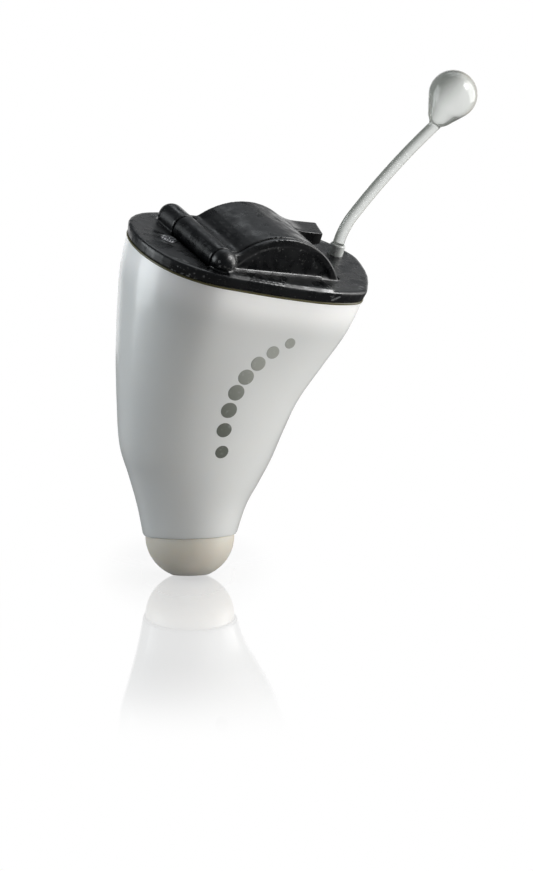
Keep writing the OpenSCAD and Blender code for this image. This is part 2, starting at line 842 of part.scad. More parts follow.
// Bore of the receiver's spout as a share of its outer radius
spout_bore_share = 0.65;
spout_r = tube_bore_r - bond_gap;
module receiver_case() {
    color("silver")
        on_canal()
            difference() {
                receiver_box(0, receiver_low, -receiver_back);
                cover_space();
                translate([
                    receiver_wall - receiver_w / 2,
                    receiver_wall - receiver_h / 2,
                    receiver_low + receiver_wall
                ])
                    cube([
                        receiver_w - 2 * receiver_wall,
                        receiver_h,
                        receiver_l - 2 * receiver_wall
                    ]);
                translate([0, 0, -receiver_back - receiver_wall - cut])
                    cylinder(r = spout_r * spout_bore_share, h = receiver_wall + 2 * cut);
            }
}
module receiver_cover() {
    color("lightgray")
        on_canal()
            intersection() {
                receiver_box(0, receiver_low, -receiver_back);
                cover_space();
            }
}
// Length of the spout in tube radii
spout_share = 1.05;
module receiver_spout() {
    color("silver")
        on_canal()
            translate([0, 0, -receiver_back])
                difference() {
                    cylinder(r = spout_r, h = tube_r * spout_share);
                    translate([0, 0, -cut])
                        cylinder(r = spout_r * spout_bore_share, h = tube_r * spout_share + 2 * cut);
                }
}
// Coil and magnet frame lie on the case's floor, with one tunnel for the armature
motor_floor_y = receiver_wall - receiver_h / 2;
motor_room = receiver_l - 2 * receiver_wall;
tunnel_w = receiver_w / 2;
tunnel_h = receiver_wall * 2;
motor_mid_share = 0.72;
motor_mid_y = motor_floor_y + receiver_h / 2 * motor_mid_share;
module motor_block(w_share, l_share, breadth_share) {
    breadth = receiver_w * breadth_share;
    high = 2 * (motor_mid_y - motor_floor_y);
    translate([0, 0, receiver_low + receiver_wall + motor_room * w_share])
        difference() {
            translate([-breadth / 2, motor_floor_y, 0])
                cube([breadth, high, motor_room * l_share]);
            translate([-tunnel_w / 2, motor_mid_y - tunnel_h / 2, -cut])
                cube([tunnel_w, tunnel_h, motor_room * l_share + 2 * cut]);
        }
}
module receiver_coil() {
    color("peru")
        on_canal()
            motor_block(0.12, 0.38, 0.76);
}
module receiver_magnets() {
    color("gray")
        on_canal()
            motor_block(0.53, 0.34, 0.7);
}
armature_share = 0.9;
module receiver_armature() {
    color("lightsteelblue")
        on_canal()
            translate([-tunnel_w / 3, motor_mid_y - tunnel_h / 6, receiver_low + receiver_wall])
                cube([tunnel_w * 2 / 3, tunnel_h / 3, motor_room * armature_share]);
}
terminal_share = 0.5;
module receiver_terminals() {
    color("goldenrod")
        on_canal()
            translate([0, 0, receiver_low - boot_t])
                linear_extrude(boot_t)
                    square([receiver_w, receiver_h + receiver_wall] * terminal_share, center = true);
}
// Share of the receiver's length that its boot covers
boot_share = 0.92;
module receiver_boot() {
    color("dimgray")
        on_canal()
            difference() {
                receiver_box(
                    boot_t + bond_gap, -receiver_back - receiver_l * boot_share,
                    boot_t - receiver_back
                );
                receiver_box(bond_gap, receiver_low - cut, -receiver_back);
                translate([0, 0, -receiver_back - cut])
                    cylinder(r = tube_r + bond_gap, h = boot_t + 2 * cut);
            }
}
module receiver_tube() {
    color("lightgray")
        on_canal()
            translate([0, 0, bond_gap - receiver_back])
                difference() {
                    cylinder(r = tube_r, h = receiver_back - bond_gap + tube_end);
                    translate([0, 0, -cut])
                        cylinder(r = tube_bore_r, h = receiver_back + tube_end + 2 * cut);
                }
}

// Middle of the vent tube on its way down: place from its mouth to its foot across the
// shell, place from its foot to its run behind the bay, and height, all as shares. The
// height runs from -1 at the rim to 0 under the bay and 1 at the foot.
vent_route_shares = [
    [0.07, 1, -0.6], [0.24, 1, -0.17], [0.55, 0.87, 0.15], [0.97, 0.62, 0.37],
    [1.2, 0.37, 0.57], [1.3, 0.16, 0.74], [1.26, 0.06, 0.89]
];
vent_steps = 18;
vent_sides = 12;
function vent_route(run_out) =
    let(
        top = [vent_x, vent_y, bond_t],
        foot = canal(vent_offset, 0, -tip_floor_t),
        stub = canal(vent_offset, 0, -tip_floor_t - vent_tube_d / 2),
        middle = [
            for (p = vent_route_shares)
                [
                    vent_x + (foot[0] - vent_x) * p[0],
                    foot[1] + (vent_y - foot[1]) * p[1],
                    p[2] < 0 ? bay_low_z * (1 + p[2]) : bay_low_z + (foot[2] - bay_low_z) * p[2]
                ]
        ],
        soft = smooth_path(concat([top - [0, 0, vent_tube_d]], middle, [stub]), vent_steps)
    )
    concat([top + [0, 0, run_out]], soft, [foot + run_out * unit(foot - stub)]);
module vent_tube() {
    color("whitesmoke")
        difference() {
            tube_along(vent_route(0), vent_tube_d / 2, vent_sides);
            tube_along(vent_route(cut), vent_bore_d / 2, vent_sides);
        }
}

line_r = line_d / 2;
line_turn = line_bend_turn + line_long_turn;
bend_end_x = line_x + line_bend_r * (1 - cos(line_bend_turn));
bend_end_z = line_straight_z + line_bend_r * sin(line_bend_turn);
line_end_x = bend_end_x + line_long_r * (cos(line_bend_turn) - cos(line_turn));
line_end_z = bend_end_z + line_long_r * (sin(line_turn) - sin(line_bend_turn));
// Length of line held inside the knob, in line diameters
line_hold_share = 1.4;
line_hold = line_d * line_hold_share;
line_sides = 16;
bend_steps = 6;
long_steps = 5;
function bend(k, n, x, z, r, from, turn) =
    let(a = from + turn * k / n)
    [x + r * (cos(from) - cos(a)), line_y, z + r * (sin(a) - sin(from))];
function line_route() = concat(
    [[line_x, line_y, line_seat_z]],
    [for (k = [0:bend_steps - 1])
        bend(k, bend_steps, line_x, line_straight_z, line_bend_r, 0, line_bend_turn)],
    [for (k = [0:long_steps])
        bend(k, long_steps, bend_end_x, bend_end_z, line_long_r, line_bend_turn, line_long_turn)],
    [[line_end_x + line_hold * sin(line_turn), line_y, line_end_z + line_hold * cos(line_turn)]]
);
module at_line_end(lean) {
    translate([line_end_x, line_y, line_end_z])
        rotate([0, lean, 0])
            children();
}
module removal_line() {
    color("lightcyan")
        tube_along(line_route(), line_r, line_sides);
}
knob_r = knob_d / 2;
knob_root_r = knob_root_d / 2;
knob_taper = asin(knob_r / norm([knob_root_r, knob_neck])) - atan(knob_root_r / knob_neck);
module removal_knob() {
    color("azure")
        difference() {
            at_line_end(knob_tilt) {
                cylinder(
                    r1 = knob_root_r, r2 = knob_r * cos(knob_taper),
                    h = knob_neck - knob_r * sin(knob_taper)
                );
                translate([0, 0, knob_neck])
                    sphere(knob_r);
            }
            at_line_end(line_turn)
                translate([0, 0, -line_d])
                    cylinder(r = line_r + bond_gap, h = line_d + line_hold + bond_gap);
        }
}
module line_collar() {
    color("azure")
        translate([line_x, line_y, plate_t])
            difference() {
                cylinder(d = collar_d, h = collar_h);
                translate([0, 0, -cut])
                    cylinder(r = line_r + bond_gap, h = collar_h + 2 * cut);
            }
}

wire_r = wire_d / 2;
wire_sides = 6;
wire_steps = 10;
// Spacing of neighbouring wires in wire diameters
wire_pitch_share = 2.5;
// Turning points of the microphone wires between microphone and board, as shares
// of the run across and the drop
mic_wire_shares = [[0, 0], [0, 0.3], [0.1, 0.62], [0.3, 0.9], [0.6, 1], [1, 1]];
module microphone_wires() {
    start = [mic_x + mic_w / 6, mic_low_z];
    run = [board_x - board_l / 2, board_mid_z] - start;
    color("firebrick")
        for (k = [-1, 0, 1]) {
            y = mic_y + k * wire_d * wire_pitch_share;
            route = [for (p = mic_wire_shares) [start[0] + run[0] * p[0], y, start[1] + run[1] * p[1]]];
            tube_along(wire_route(route), wire_r, wire_sides);
        }
}
// Pads of the receiver wires on the board, as shares of its length and width
receiver_pad_x_share = 0.42;
receiver_pad_y_shares = [-0.28, -0.04];
module receiver_wires() {
    color("goldenrod")
        for (k = [0, 1]) {
            side = receiver_h / 6 * (2 * k - 1);
            a = canal(0, side, receiver_low - boot_t);
            b = canal(0, side, receiver_low - 3 * boot_t);
            d = [board_x + board_l * receiver_pad_x_share,
                board_y + board_w * receiver_pad_y_shares[k], board_low_z];
            c = d - [0, 0, 2 * board_t];
            tube_along(wire_route([a, b, (b + c) / 2, c, d]), wire_r, wire_sides);
        }
}
module battery_wires() {
    color("navy") {
        translate([cell_x, 0, board_mid_z])
            along_y(board_y + board_w / 2, positive_y)
                circle(wire_r);
        translate([cell_x, 0, board_mid_z])
            along_y(negative_y + leaf_t, board_y - board_w / 2)
                circle(wire_r);
    }
}

cradle_open_share = 0.56;
module door_body_section() {
    intersection() {
        union() {
            arch_disc(arch_r);
            valley_web();
        }
        hinge_disc(door_reach);
        translate([door_left_x, 0])
            square([door_reach, 2 * arch_r]);
    }
}
module battery_door() {
    color("dimgray")
        difference() {
            union() {
                difference() {
                    along_y(door_front_y, door_rear_y)
                        door_body_section();
                    along_y(cell_front_y, cell_rear_y + cell_gap)
                        cell_disc(pocket_r);
                    along_y(knuckle_rear_y, door_rear_y + cut)
                        hinge_disc(ear_gap_r);
                }
                along_y(door_front_y, knuckle_rear_y)
                    hinge_disc(barrel_r);
                along_y(cell_front_y, cell_rear_y)
                    intersection() {
                        difference() {
                            cell_disc(cradle_r);
                            cell_disc(pocket_r);
                        }
                        translate([cell_x - cradle_r, cell_z - cradle_r * cradle_open_share])
                            square([2 * cradle_r, cell_drop + cradle_r * cradle_open_share + door_gap]);
                    }
                nail_lip();
            }
            along_y(door_front_y - cut, knuckle_rear_y + cut)
                hinge_disc(pin_r + pin_gap);
        }
}

// Puts its children on the cell's axis, +Z from the negative cap to the flat face
module on_cell() {
    translate([cell_x, cell_front_y, cell_z])
        rotate([-90, 0, 0])
            children();
}
// Crimp, cap and gasket of the cell, as shares of its radius and thickness
crimp_share = 0.85;
cell_cap_share = 0.8;
crimp_z_share = 0.08;
cap_depth_share = 0.62;
air_ring_share = 0.45;
air_holes = 4;
crimp_z = can_t * crimp_z_share;
cell_cap_r = cell_r * cell_cap_share;
module battery_can() {
    color("silver")
        on_cell()
            difference() {
                rotate_extrude()
                    polygon([
                        [0, can_t], [cell_r - can_wall, can_t], [cell_r, can_t - can_wall],
                        [cell_r, crimp_z + 2 * can_wall], [cell_r - 2 * can_wall, crimp_z],
                        [cell_r * crimp_share, crimp_z], [cell_r * crimp_share, crimp_z + can_wall],
                        [cell_r - can_wall, crimp_z + 3 * can_wall],
                        [cell_r - can_wall, can_t - can_wall], [0, can_t - can_wall]
                    ]);
                for (k = [1:air_holes])
                    rotate(k * 360 / air_holes)
                        translate([cell_r * air_ring_share, 0, can_t - can_wall - cut])
                            cylinder(d = wire_d, h = can_wall + 2 * cut);
            }
}
module battery_gasket() {
    color("white")
        on_cell()
            rotate_extrude()
                polygon([
                    [cell_cap_r + bond_gap, crimp_z + can_wall],
                    [cell_r * crimp_share, crimp_z + can_wall + bond_gap],
                    [cell_r - can_wall - bond_gap, crimp_z + 3 * can_wall + bond_gap],
                    [cell_r - can_wall - bond_gap, can_t - can_wall],
                    [cell_cap_r - can_wall, can_t - can_wall],
                    [cell_cap_r - can_wall, can_t * cap_depth_share + bond_gap],
                    [cell_cap_r + bond_gap, can_t * cap_depth_share + bond_gap]
                ]);
}
module battery_cap() {
    color("lightgray")
        on_cell()
            rotate_extrude()
                polygon([
                    [0, 0], [cell_cap_r - can_wall, 0], [cell_cap_r, can_wall],
                    [cell_cap_r, can_t * cap_depth_share],
                    [cell_cap_r - can_wall, can_t * cap_depth_share],
                    [cell_cap_r - can_wall, 2 * can_wall], [0, can_wall]
                ]);
}

module wax_guard() {
    color("white")
        on_canal()
            difference() {
                union() {
                    translate([0, 0, guard_seat])
                        cylinder(r = guard_flange_r, h = guard_flange_t);
                    translate([0, 0, guard_start])
                        cylinder(r = guard_r, h = guard_seat - guard_start);
                }
                translate([0, 0, guard_ledge_end])
                    cylinder(r = guard_bore_r, h = cap_l);
                translate([0, 0, guard_start - cut])
                    cylinder(r = guard_bore_r * guard_ledge_share, h = cap_l);
            }
}
module wax_guard_screen() {
    color("silver")
        on_canal()
            translate([0, 0, guard_ledge_end])
                sieve(guard_bore_d - 2 * bond_gap, screen_t);
}

shell();
bond_line();
tip_cap();
faceplate();
hinge_pin();
port_screen();
microphone();
microphone_grommet();
battery_bay();
positive_contact();
negative_contact();
board_pad();
amplifier_board();
amplifier_chip();
memory_chip();
capacitors();
receiver_case();
receiver_cover();
receiver_spout();
receiver_coil();
receiver_magnets();
receiver_armature();
receiver_terminals();
receiver_boot();
receiver_tube();
vent_tube();
removal_line();
removal_knob();
line_collar();
microphone_wires();
receiver_wires();
battery_wires();
battery_door();
battery_can();
battery_gasket();
battery_cap();
wax_guard();
wax_guard_screen();
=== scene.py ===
"""Looks of an in-the-canal hearing aid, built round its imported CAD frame.

Sizes in this file are millimetres and become metres as a mesh is made. The camera and
the lamps are placed along the picture's own directions: right, up and back to the lens.
"""

import json
import math
import random

import bmesh
import bpy
import numpy as np
from bpy.props import FloatProperty, FloatVectorProperty, PointerProperty
from bpy.types import Operator, Panel, PropertyGroup
from mathutils import Matrix, Vector
from mathutils.bvhtree import BVHTree


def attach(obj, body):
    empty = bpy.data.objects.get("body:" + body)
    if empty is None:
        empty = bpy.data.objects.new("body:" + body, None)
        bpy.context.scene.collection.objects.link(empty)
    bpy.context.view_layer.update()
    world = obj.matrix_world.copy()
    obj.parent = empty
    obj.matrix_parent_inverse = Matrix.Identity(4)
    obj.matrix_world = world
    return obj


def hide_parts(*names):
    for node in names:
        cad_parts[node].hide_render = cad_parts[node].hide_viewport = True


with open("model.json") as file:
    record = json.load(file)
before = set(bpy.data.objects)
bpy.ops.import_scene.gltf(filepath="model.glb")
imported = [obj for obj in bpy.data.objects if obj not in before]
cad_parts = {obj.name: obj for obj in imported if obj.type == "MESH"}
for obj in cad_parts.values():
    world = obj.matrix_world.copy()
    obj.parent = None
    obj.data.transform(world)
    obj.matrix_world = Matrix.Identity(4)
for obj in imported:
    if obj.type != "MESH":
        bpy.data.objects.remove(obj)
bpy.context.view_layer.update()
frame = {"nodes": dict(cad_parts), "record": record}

bl_info = {
    "name": "Canal Hearing Aid",
    "version": (1, 0, 0),
    "blender": (4, 5, 0),
    "location": "3D View > Sidebar > Hearing Aid",
    "description": "Builds the moulded, clear and metal pieces of a canal hearing aid",
    "category": "Add Mesh",
}

MM = 0.001

# Picture directions, as azimuth, height and roll of the lens, and the scale of the picture
AZIMUTH, HEIGHT, ROLL = (math.radians(a) for a in (-35.0, 18.3, 17.6))
PIXELS_PER_MM = 18.0
PICTURE = (533, 871)
AIM = (0.895, -9.408, -2.15)


def picture_axes():
    """The picture's right, up and back directions in the row frame."""
    ca, sa = math.cos(AZIMUTH), math.sin(AZIMUTH)
    ce, se = math.cos(HEIGHT), math.sin(HEIGHT)
    right, up = Vector((ca, sa, 0)), Vector((-sa * se, ca * se, ce))
    rolled = right * math.cos(ROLL) + up * math.sin(ROLL)
    raised = up * math.cos(ROLL) - right * math.sin(ROLL)
    return rolled, raised, rolled.cross(raised)


RIGHT, UP, BACK = picture_axes()


def along(right, up, back):
    """A direction or place given along the picture's right, up and back."""
    return RIGHT * right + UP * up + BACK * back


def at_pixel(x, y):
    """The place of a picture point, in millimetres, on the plane through the aim."""
    return along(
        AIM[0] + (x - PICTURE[0] / 2) / PIXELS_PER_MM,
        AIM[1] - (y - PICTURE[1] / 2) / PIXELS_PER_MM,
        AIM[2],
    )


# Sizes of the CAD pieces that this file replaces, in millimetres
RIM_L, RIM_W, PLATE_T = 14.381, 9.604, 0.8
DEPTH, WALL, BOND_T, GAP = 15.6, 0.6, 0.12, 0.02
CANAL_TILT, CANAL_TURN = math.radians(22), math.radians(-67)
TIP_R, TIP_FLOOR, TIP_X_SHARE, TIP_Y_SHARE = 2.6, 1.6, 0.0216, -0.1875
CAP_R, CAP_L, CAP_STRAIGHT, SPIGOT_R, SPIGOT_L = 2.475, 2.45, 0.1, 1.0, 1.0
TUBE_R, VENT_R, VENT_OFFSET = 0.75, 0.3, 1.45
GUARD_R, FLANGE_R, GUARD_SEAT, GUARD_FACE = 0.76, 1.05, 1.969, 2.219
LINE_X, LINE_Y, LINE_R, LINE_STRAIGHT = 5.92, 1.0, 0.325, 1.5
LINE_BENDS = ((4.1, 25), (34.6, 11))
KNOB_R, KNOB_NECK, KNOB_ROOT_R, KNOB_LEAN = 1.37, 2.11, 0.37, math.radians(17)
COLLAR_R, COLLAR_H = 0.43, 0.65
SCREEN_PLACE, SCREEN_R = (-5.1958, 0.85, 0.76), 0.5

# How far the drill runs past what it cuts, and the angle past which an edge is crisp
OVERRUN, CRISP = 0.3, 35
# Points closer than this, in metres, are one
SAME_PLACE = 1e-7

OUTLINE = np.array([
    (1, 0.15), (0.965, 0.38), (0.87, 0.61), (0.7, 0.8), (0.4, 0.94), (0, 1), (-0.4, 1.01),
    (-0.66, 0.94), (-0.85, 0.74), (-0.955, 0.45), (-0.995, 0.1), (-0.965, -0.25),
    (-0.86, -0.55), (-0.66, -0.77), (-0.36, -0.88), (-0.04, -0.96), (0.3, -0.995),
    (0.54, -0.95), (0.69, -0.86), (0.79, -0.66), (0.92, -0.3),
])
# Depth, x, y, length, width, roundness and lean of the shell's sections
STATIONS = np.array([
    (0, 0, 0, 1, 1, 0, 0),
    (0.128, -0.009, -0.002, 0.96, 0.99, 0.08, 0),
    (0.256, -0.026, -0.01, 0.87, 0.958, 0.2, 0),
    (0.417, -0.038, -0.026, 0.764, 0.896, 0.42, 0.14),
    (0.577, -0.031, -0.052, 0.687, 0.812, 0.68, 0.32),
    (0.705, -0.02, -0.083, 0.623, 0.729, 0.86, 0.55),
    (0.801, -0.003, -0.109, 0.527, 0.667, 0.95, 0.73),
    (0.897, 0.007, -0.146, 0.431, 0.594, 1, 0.91),
    (1, TIP_X_SHARE, TIP_Y_SHARE, 2 * TIP_R / RIM_L, 2 * TIP_R / RIM_W, 1, 1),
])
AROUND = 144


# Curves


def spline(a, b, c, d, t):
    """The point at t between b and c on a smooth curve through four points."""
    return (2 * b + (c - a) * t + (2 * a - 5 * b + 4 * c - d) * t * t
            + (3 * b - a - 3 * c + d) * t ** 3) / 2


def on_loop(rows, share):
    """The point at that share of the way round a closed run of rows."""
    n = len(rows)
    i, t = divmod(share * n, 1)
    i = int(i)
    return spline(rows[(i - 1) % n], rows[i % n], rows[(i + 1) % n], rows[(i + 2) % n], t)


def on_run(rows, share):
    """The point at that share of the way along an open run of rows."""
    n = len(rows) - 1
    v = min(share * n, n - 1e-6)
    i = int(v)
    return spline(rows[max(i - 1, 0)], rows[i], rows[i + 1], rows[min(i + 2, n)], v - i)


def arc(x, y, r, start, end, steps):
    """Points of a circle's arc, with its angles in degrees."""
    angles = [math.radians(start + (end - start) * k / steps) for k in range(steps + 1)]
    return [(x + r * math.cos(a), y + r * math.sin(a)) for a in angles]


def turns(steps):
    """Angles round a full turn."""
    return [2 * math.pi * i / steps for i in range(steps)]


def circle(x, y, r, steps):
    """Points of a whole circle."""
    return [(x + r * math.cos(a), y + r * math.sin(a)) for a in turns(steps)]


# The rim's points, and the points of a round rim at the same angles
RIM_POINTS = np.array([on_loop(OUTLINE, k / AROUND) for k in range(AROUND)])
RIM_ANGLES = [math.atan2(y, x) for x, y in RIM_POINTS]
ROUND_POINTS = np.array([(math.cos(a), math.sin(a)) for a in RIM_ANGLES])


def leaned(p, angle):
    """A flat point leaned by an angle towards the canal's turn."""
    c, s = math.cos(CANAL_TURN), math.sin(CANAL_TURN)
    q = np.array((p[0] * c + p[1] * s, -p[0] * s + p[1] * c))
    x = q[0] * math.cos(angle)
    return np.array((x * c - q[1] * s, x * s + q[1] * c, q[0] * math.sin(angle)))


def section(row, inset):
    """The shell's ring at a station row, drawn in by an inset."""
    depth, x, y, length, width, roundness, lean = row
    size = (RIM_L / 2 * length - inset, RIM_W / 2 * width - inset)
    centre = np.array((RIM_L * x, RIM_W * y, -DEPTH * depth))
    flat = [p * (1 - roundness) + q * roundness for p, q in zip(RIM_POINTS, ROUND_POINTS)]
    return [centre + leaned(q * size, CANAL_TILT * lean) for q in flat]


def canal_ring(radius, out):
    """A round ring about the canal's axis, at a distance out from the shell's end."""
    tip = np.array((RIM_L * TIP_X_SHARE, RIM_W * TIP_Y_SHARE, -DEPTH))
    axis = np.array(CANAL_AXIS)
    return [tip + leaned(q * radius, CANAL_TILT) + axis * out for q in ROUND_POINTS]


CANAL_AXIS = Vector((
    math.sin(CANAL_TILT) * math.cos(CANAL_TURN),
    math.sin(CANAL_TILT) * math.sin(CANAL_TURN),
    -math.cos(CANAL_TILT),
))
CANAL = (
    Matrix.Translation((RIM_L * TIP_X_SHARE, RIM_W * TIP_Y_SHARE, -DEPTH))
    @ Matrix.Rotation(CANAL_TURN, 4, "Z")
    @ Matrix.Rotation(math.pi - CANAL_TILT, 4, "Y")
    @ Matrix.Rotation(CANAL_TURN, 4, "Z")
)
VENT = CANAL @ Matrix.Translation((-VENT_OFFSET, 0, 0))

# Meshes


def piece(name, points, faces, crisp=CRISP):
    """A smooth mesh object from points in millimetres, crisp past an angle in degrees."""
    mesh = bpy.data.meshes.new(name)
    mesh.from_pydata([tuple(Vector(p) * MM) for p in points], [], faces)
    work = bmesh.new()
    work.from_mesh(mesh)
    bmesh.ops.recalc_face_normals(work, faces=work.faces)
    work.to_mesh(mesh)
    work.free()
    mesh.shade_smooth()
    mesh.set_sharp_from_angle(angle=math.radians(crisp))
    obj = bpy.data.objects.new(name, mesh)
    bpy.context.scene.collection.objects.link(obj)
    return obj


def ring_faces(n, m, looped=False, base=0):
    """Faces over m rings of n points, looped or else closed at both ends."""
    faces = []
    for k in range(m if looped else m - 1):
        a, b = base + k * n, base + (k + 1) % m * n
        faces += [(a + i, a + (i + 1) % n, b + (i + 1) % n, b + i) for i in range(n)]
    if not looped:
        faces += [tuple(range(end, end + n)) for end in (base, base + (m - 1) * n)]
    return faces


def skin(name, rings, looped=False, crisp=CRISP):
    """A skin over rings of equally many points, looped or else closed at both ends."""
    points = [p for ring in rings for p in ring]
    return piece(name, points, ring_faces(len(rings[0]), len(rings), looped), crisp)


def turned(name, profile, place, steps=96, looped=True):
    """A turned piece: radius and height pairs swept round the Z axis of a place."""
    rings = [
        [place @ Vector((x, y, height)) for x, y in circle(0, 0, r, steps)]
        for r, height in profile
    ]
    return skin(name, rings, looped)


def swept(name, path, radii, steps):
    """A round bar along a path, with a radius for each of its points."""
    path = [Vector(p) for p in path]
    rings = []
    side = None
    for k, (p, r) in enumerate(zip(path, radii)):
        ahead = path[min(k + 1, len(path) - 1)] - path[max(k - 1, 0)]
        ahead.normalize()
        if side is None:
            side = ahead.orthogonal()
        side = (side - ahead * side.dot(ahead)).normalized()
        other = ahead.cross(side)
        rings.append([p + side * r * math.cos(a) + other * r * math.sin(a) for a in turns(steps)])
    return skin(name, rings, crisp=60)


def settled(obj):
    """Works an object's modifiers into its mesh."""
    graph = bpy.context.evaluated_depsgraph_get()
    mesh = bpy.data.meshes.new_from_object(obj.evaluated_get(graph))
    obj.modifiers.clear()
    obj.data = mesh


def modified(obj, kind, **settings):
    """Adds a modifier with its settings."""
    modifier = obj.modifiers.new(kind.title(), kind)
    for key, value in settings.items():
        setattr(modifier, key, value)


def vented(obj, start, end):
    """Drills the vent through an object, from start to end along the canal."""
    run = [(VENT_R, start - OVERRUN), (VENT_R, end + OVERRUN)]
    tool = turned("drill", run, VENT, 32, False)
    modified(obj, "BOOLEAN", operation="DIFFERENCE", solver="EXACT", object=tool)
    settled(obj)
    bpy.data.objects.remove(tool)
    obj.data.set_sharp_from_angle(angle=math.radians(CRISP))


def moulded(node, passes):
    """A copy of a CAD node with its edges rounded as a mould leaves them."""
    mesh = frame["nodes"][node].data.copy()
    work = bmesh.new()
    work.from_mesh(mesh)
    bmesh.ops.remove_doubles(work, verts=work.verts, dist=SAME_PLACE)
    bmesh.ops.scale(work, vec=(1 / MM,) * 3, verts=work.verts)
    work.to_mesh(mesh)
    work.free()
    mesh.materials.clear()
    obj = bpy.data.objects.new(node + "_moulded", mesh)
    bpy.context.scene.collection.objects.link(obj)
    grain = bpy.context.scene.aid_sizes.mould_grain
    modified(obj, "REMESH", mode="VOXEL", voxel_size=grain)
    modified(obj, "SMOOTH", factor=0.5, iterations=passes)
    modified(obj, "DECIMATE", ratio=0.5)
    settled(obj)
    obj.data.transform(Matrix.Scale(MM, 4))
    obj.data.shade_smooth()
    return obj


def fitted(obj, slot, body, *nodes, coat=None):
    """Paints a piece, seats it on its body and lets it stand for its CAD nodes."""
    obj.data.materials.clear()
    obj.data.materials.append(finish(coat or slot))
    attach(obj, body)
    if nodes:
        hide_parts(*nodes)


# Shading


class Wire:
    """An output socket that shader maths can be written with."""

    def __init__(self, paint, socket):
        self.paint, self.socket = paint, socket

    def __add__(self, other):
        return self.paint.maths("ADD", self, other)

    __radd__ = __add__

    def __sub__(self, other):
        return self.paint.maths("SUBTRACT", self, other)

    def __rsub__(self, other):
        return self.paint.maths("SUBTRACT", other, self)

    def __mul__(self, other):
        return self.paint.maths("MULTIPLY", self, other)

    __rmul__ = __mul__


class Paint:
    """The nodes of one material or world."""

    def __init__(self, owner):
        owner.use_nodes = True
        self.tree = owner.node_tree
        self.tree.nodes.clear()

    def node(self, kind, settings, values, out=0):
        """Adds a node: its type, its settings, then its values or links by input."""
        made = self.tree.nodes.new("ShaderNode" + kind)
        for key, value in settings.items():
            setattr(made, key, value)
        for key, value in values.items():
            if isinstance(value, Wire):
                self.tree.links.new(value.socket, made.inputs[key])
            else:
                made.inputs[key].default_value = value
        return Wire(self, made.outputs[out]) if made.outputs else None

    def maths(self, what, a, b):
        return self.node("Math", {"operation": what}, {0: a, 1: b})

    def place(self):
        return self.node("TexCoord", {}, {}, "Object")

    def dot(self, vector, direction):
        """How far a vector goes along a direction."""
        values = {0: vector, 1: tuple(direction)}
        return self.node("VectorMath", {"operation": "DOT_PRODUCT"}, values, "Value")

    def along(self, direction):
        """Distance along a direction, in metres."""
        return self.dot(self.place(), direction)

    def noise(self, scale, detail=3.0, rough=0.5, place=None):
        values = {"Vector": place or self.place(), "Scale": scale, "Detail": detail}
        values["Roughness"] = rough
        return self.node("TexNoise", {}, values, "Fac")

    def step(self, value, low, high, least=0.0, most=1.0):
        """A smooth step from least to most, as value goes from low to high."""
        names = ("Value", "From Min", "From Max", "To Min", "To Max")
        values = dict(zip(names, (value, low, high, least, most)))
        return self.node("MapRange", {"interpolation_type": "SMOOTHSTEP"}, values, "Result")

    def mix(self, share, a, b):
        """A colour from a to b."""
        values = {0: share, 6: shade(a), 7: shade(b)}
        return self.node("Mix", {"data_type": "RGBA"}, values, 2)

    def spread(self, value, least, most):
        """A smooth step from least to most, over the range that noise mostly fills."""
        return self.step(value, 0.3, 0.7, least, most)

    def rays(self, *kinds):
        """For each kind of ray, 1 where the shader is met by that kind and otherwise 0."""
        return [self.node("LightPath", {}, {}, f"Is {kind} Ray") for kind in kinds]

    def bump(self, height, depth):
        """A normal from a height of 0 to 1 that stands for a depth in millimetres."""
        values = {"Height": height, "Distance": depth * MM, "Strength": 1.0}
        return self.node("Bump", {}, values)

    def surface(self, shader):
        self.node("OutputMaterial", {}, {"Surface": shader})

    def principled(self, values):
        """A surface of the principled shader."""
        self.surface(self.node("BsdfPrincipled", {}, values))


def shade(colour):
    """A colour with its fourth value, or a link as it is."""
    return colour if isinstance(colour, Wire) else (*tuple(colour)[:3], 1.0)


def dimmed(colour, share):
    """A colour at a share of its brightness."""
    return [c * share for c in colour]


def acrylic(paint, look):
    """Polished cast acrylic: cloudy depth, polishing waves, a painted highlight paler towards the
    rim, and painted glow on the rim's lit side.
    """
    cloud = paint.noise(260, 4)
    fine = paint.noise(2600, 3)
    body = paint.mix(cloud, dimmed(look.shell_colour, 0.95), look.shell_colour)
    rise = paint.along((0, 0, 1))
    # Paler towards the rim: painted highlight, standing for the bright band of light under the
    # faceplate
    rim = paint.step(rise, -2.2 * MM, -0.3 * MM)
    # Near the rim on the lit right side: painted light, given off as emission though the shell is
    # no lamp
    lit_side = paint.step(paint.along(RIGHT), -2.6 * MM, 0.2 * MM)
    painted_rim_glow = paint.step(rise, -2.4 * MM, -0.2 * MM) * lit_side
    waves = paint.noise(300, 2) * 0.96 + fine * 0.04
    paint.principled({
        "Base Color": paint.mix(rim, body, (0.95, 0.95, 0.95)),
        "Roughness": paint.spread(fine, look.shell_gloss * 0.92, look.shell_gloss * 1.08),
        "Normal": paint.bump(waves, 0.01),
        "Subsurface Weight": 0.2,
        "Subsurface Scale": 0.35 * MM,
        "Subsurface Radius": (1.0, 0.9, 0.8),
        "Coat Weight": 0.2,
        "Coat Roughness": 0.15,
        "Emission Color": paint.mix(painted_rim_glow, (0, 0, 0), (0.13, 0.13, 0.125)),
        "Emission Strength": 1.0,
    })


def silicone(paint, look):
    """Soft warm silicone: satin skin, faint mould texture and light held inside."""
    mottle = paint.noise(900, 4)
    skin_grain = paint.noise(9000, 3)
    paint.principled({
        "Base Color": paint.mix(mottle, dimmed(look.tip_colour, 0.93), look.tip_colour),
        "Roughness": paint.spread(mottle, 0.34, 0.46),
        "Normal": paint.bump(skin_grain * 0.6 + mottle * 0.4, 0.008),
        "Subsurface Weight": 0.5,
        "Subsurface Scale": 0.8 * MM,
        "Subsurface Radius": (1.0, 0.8, 0.6),
    })


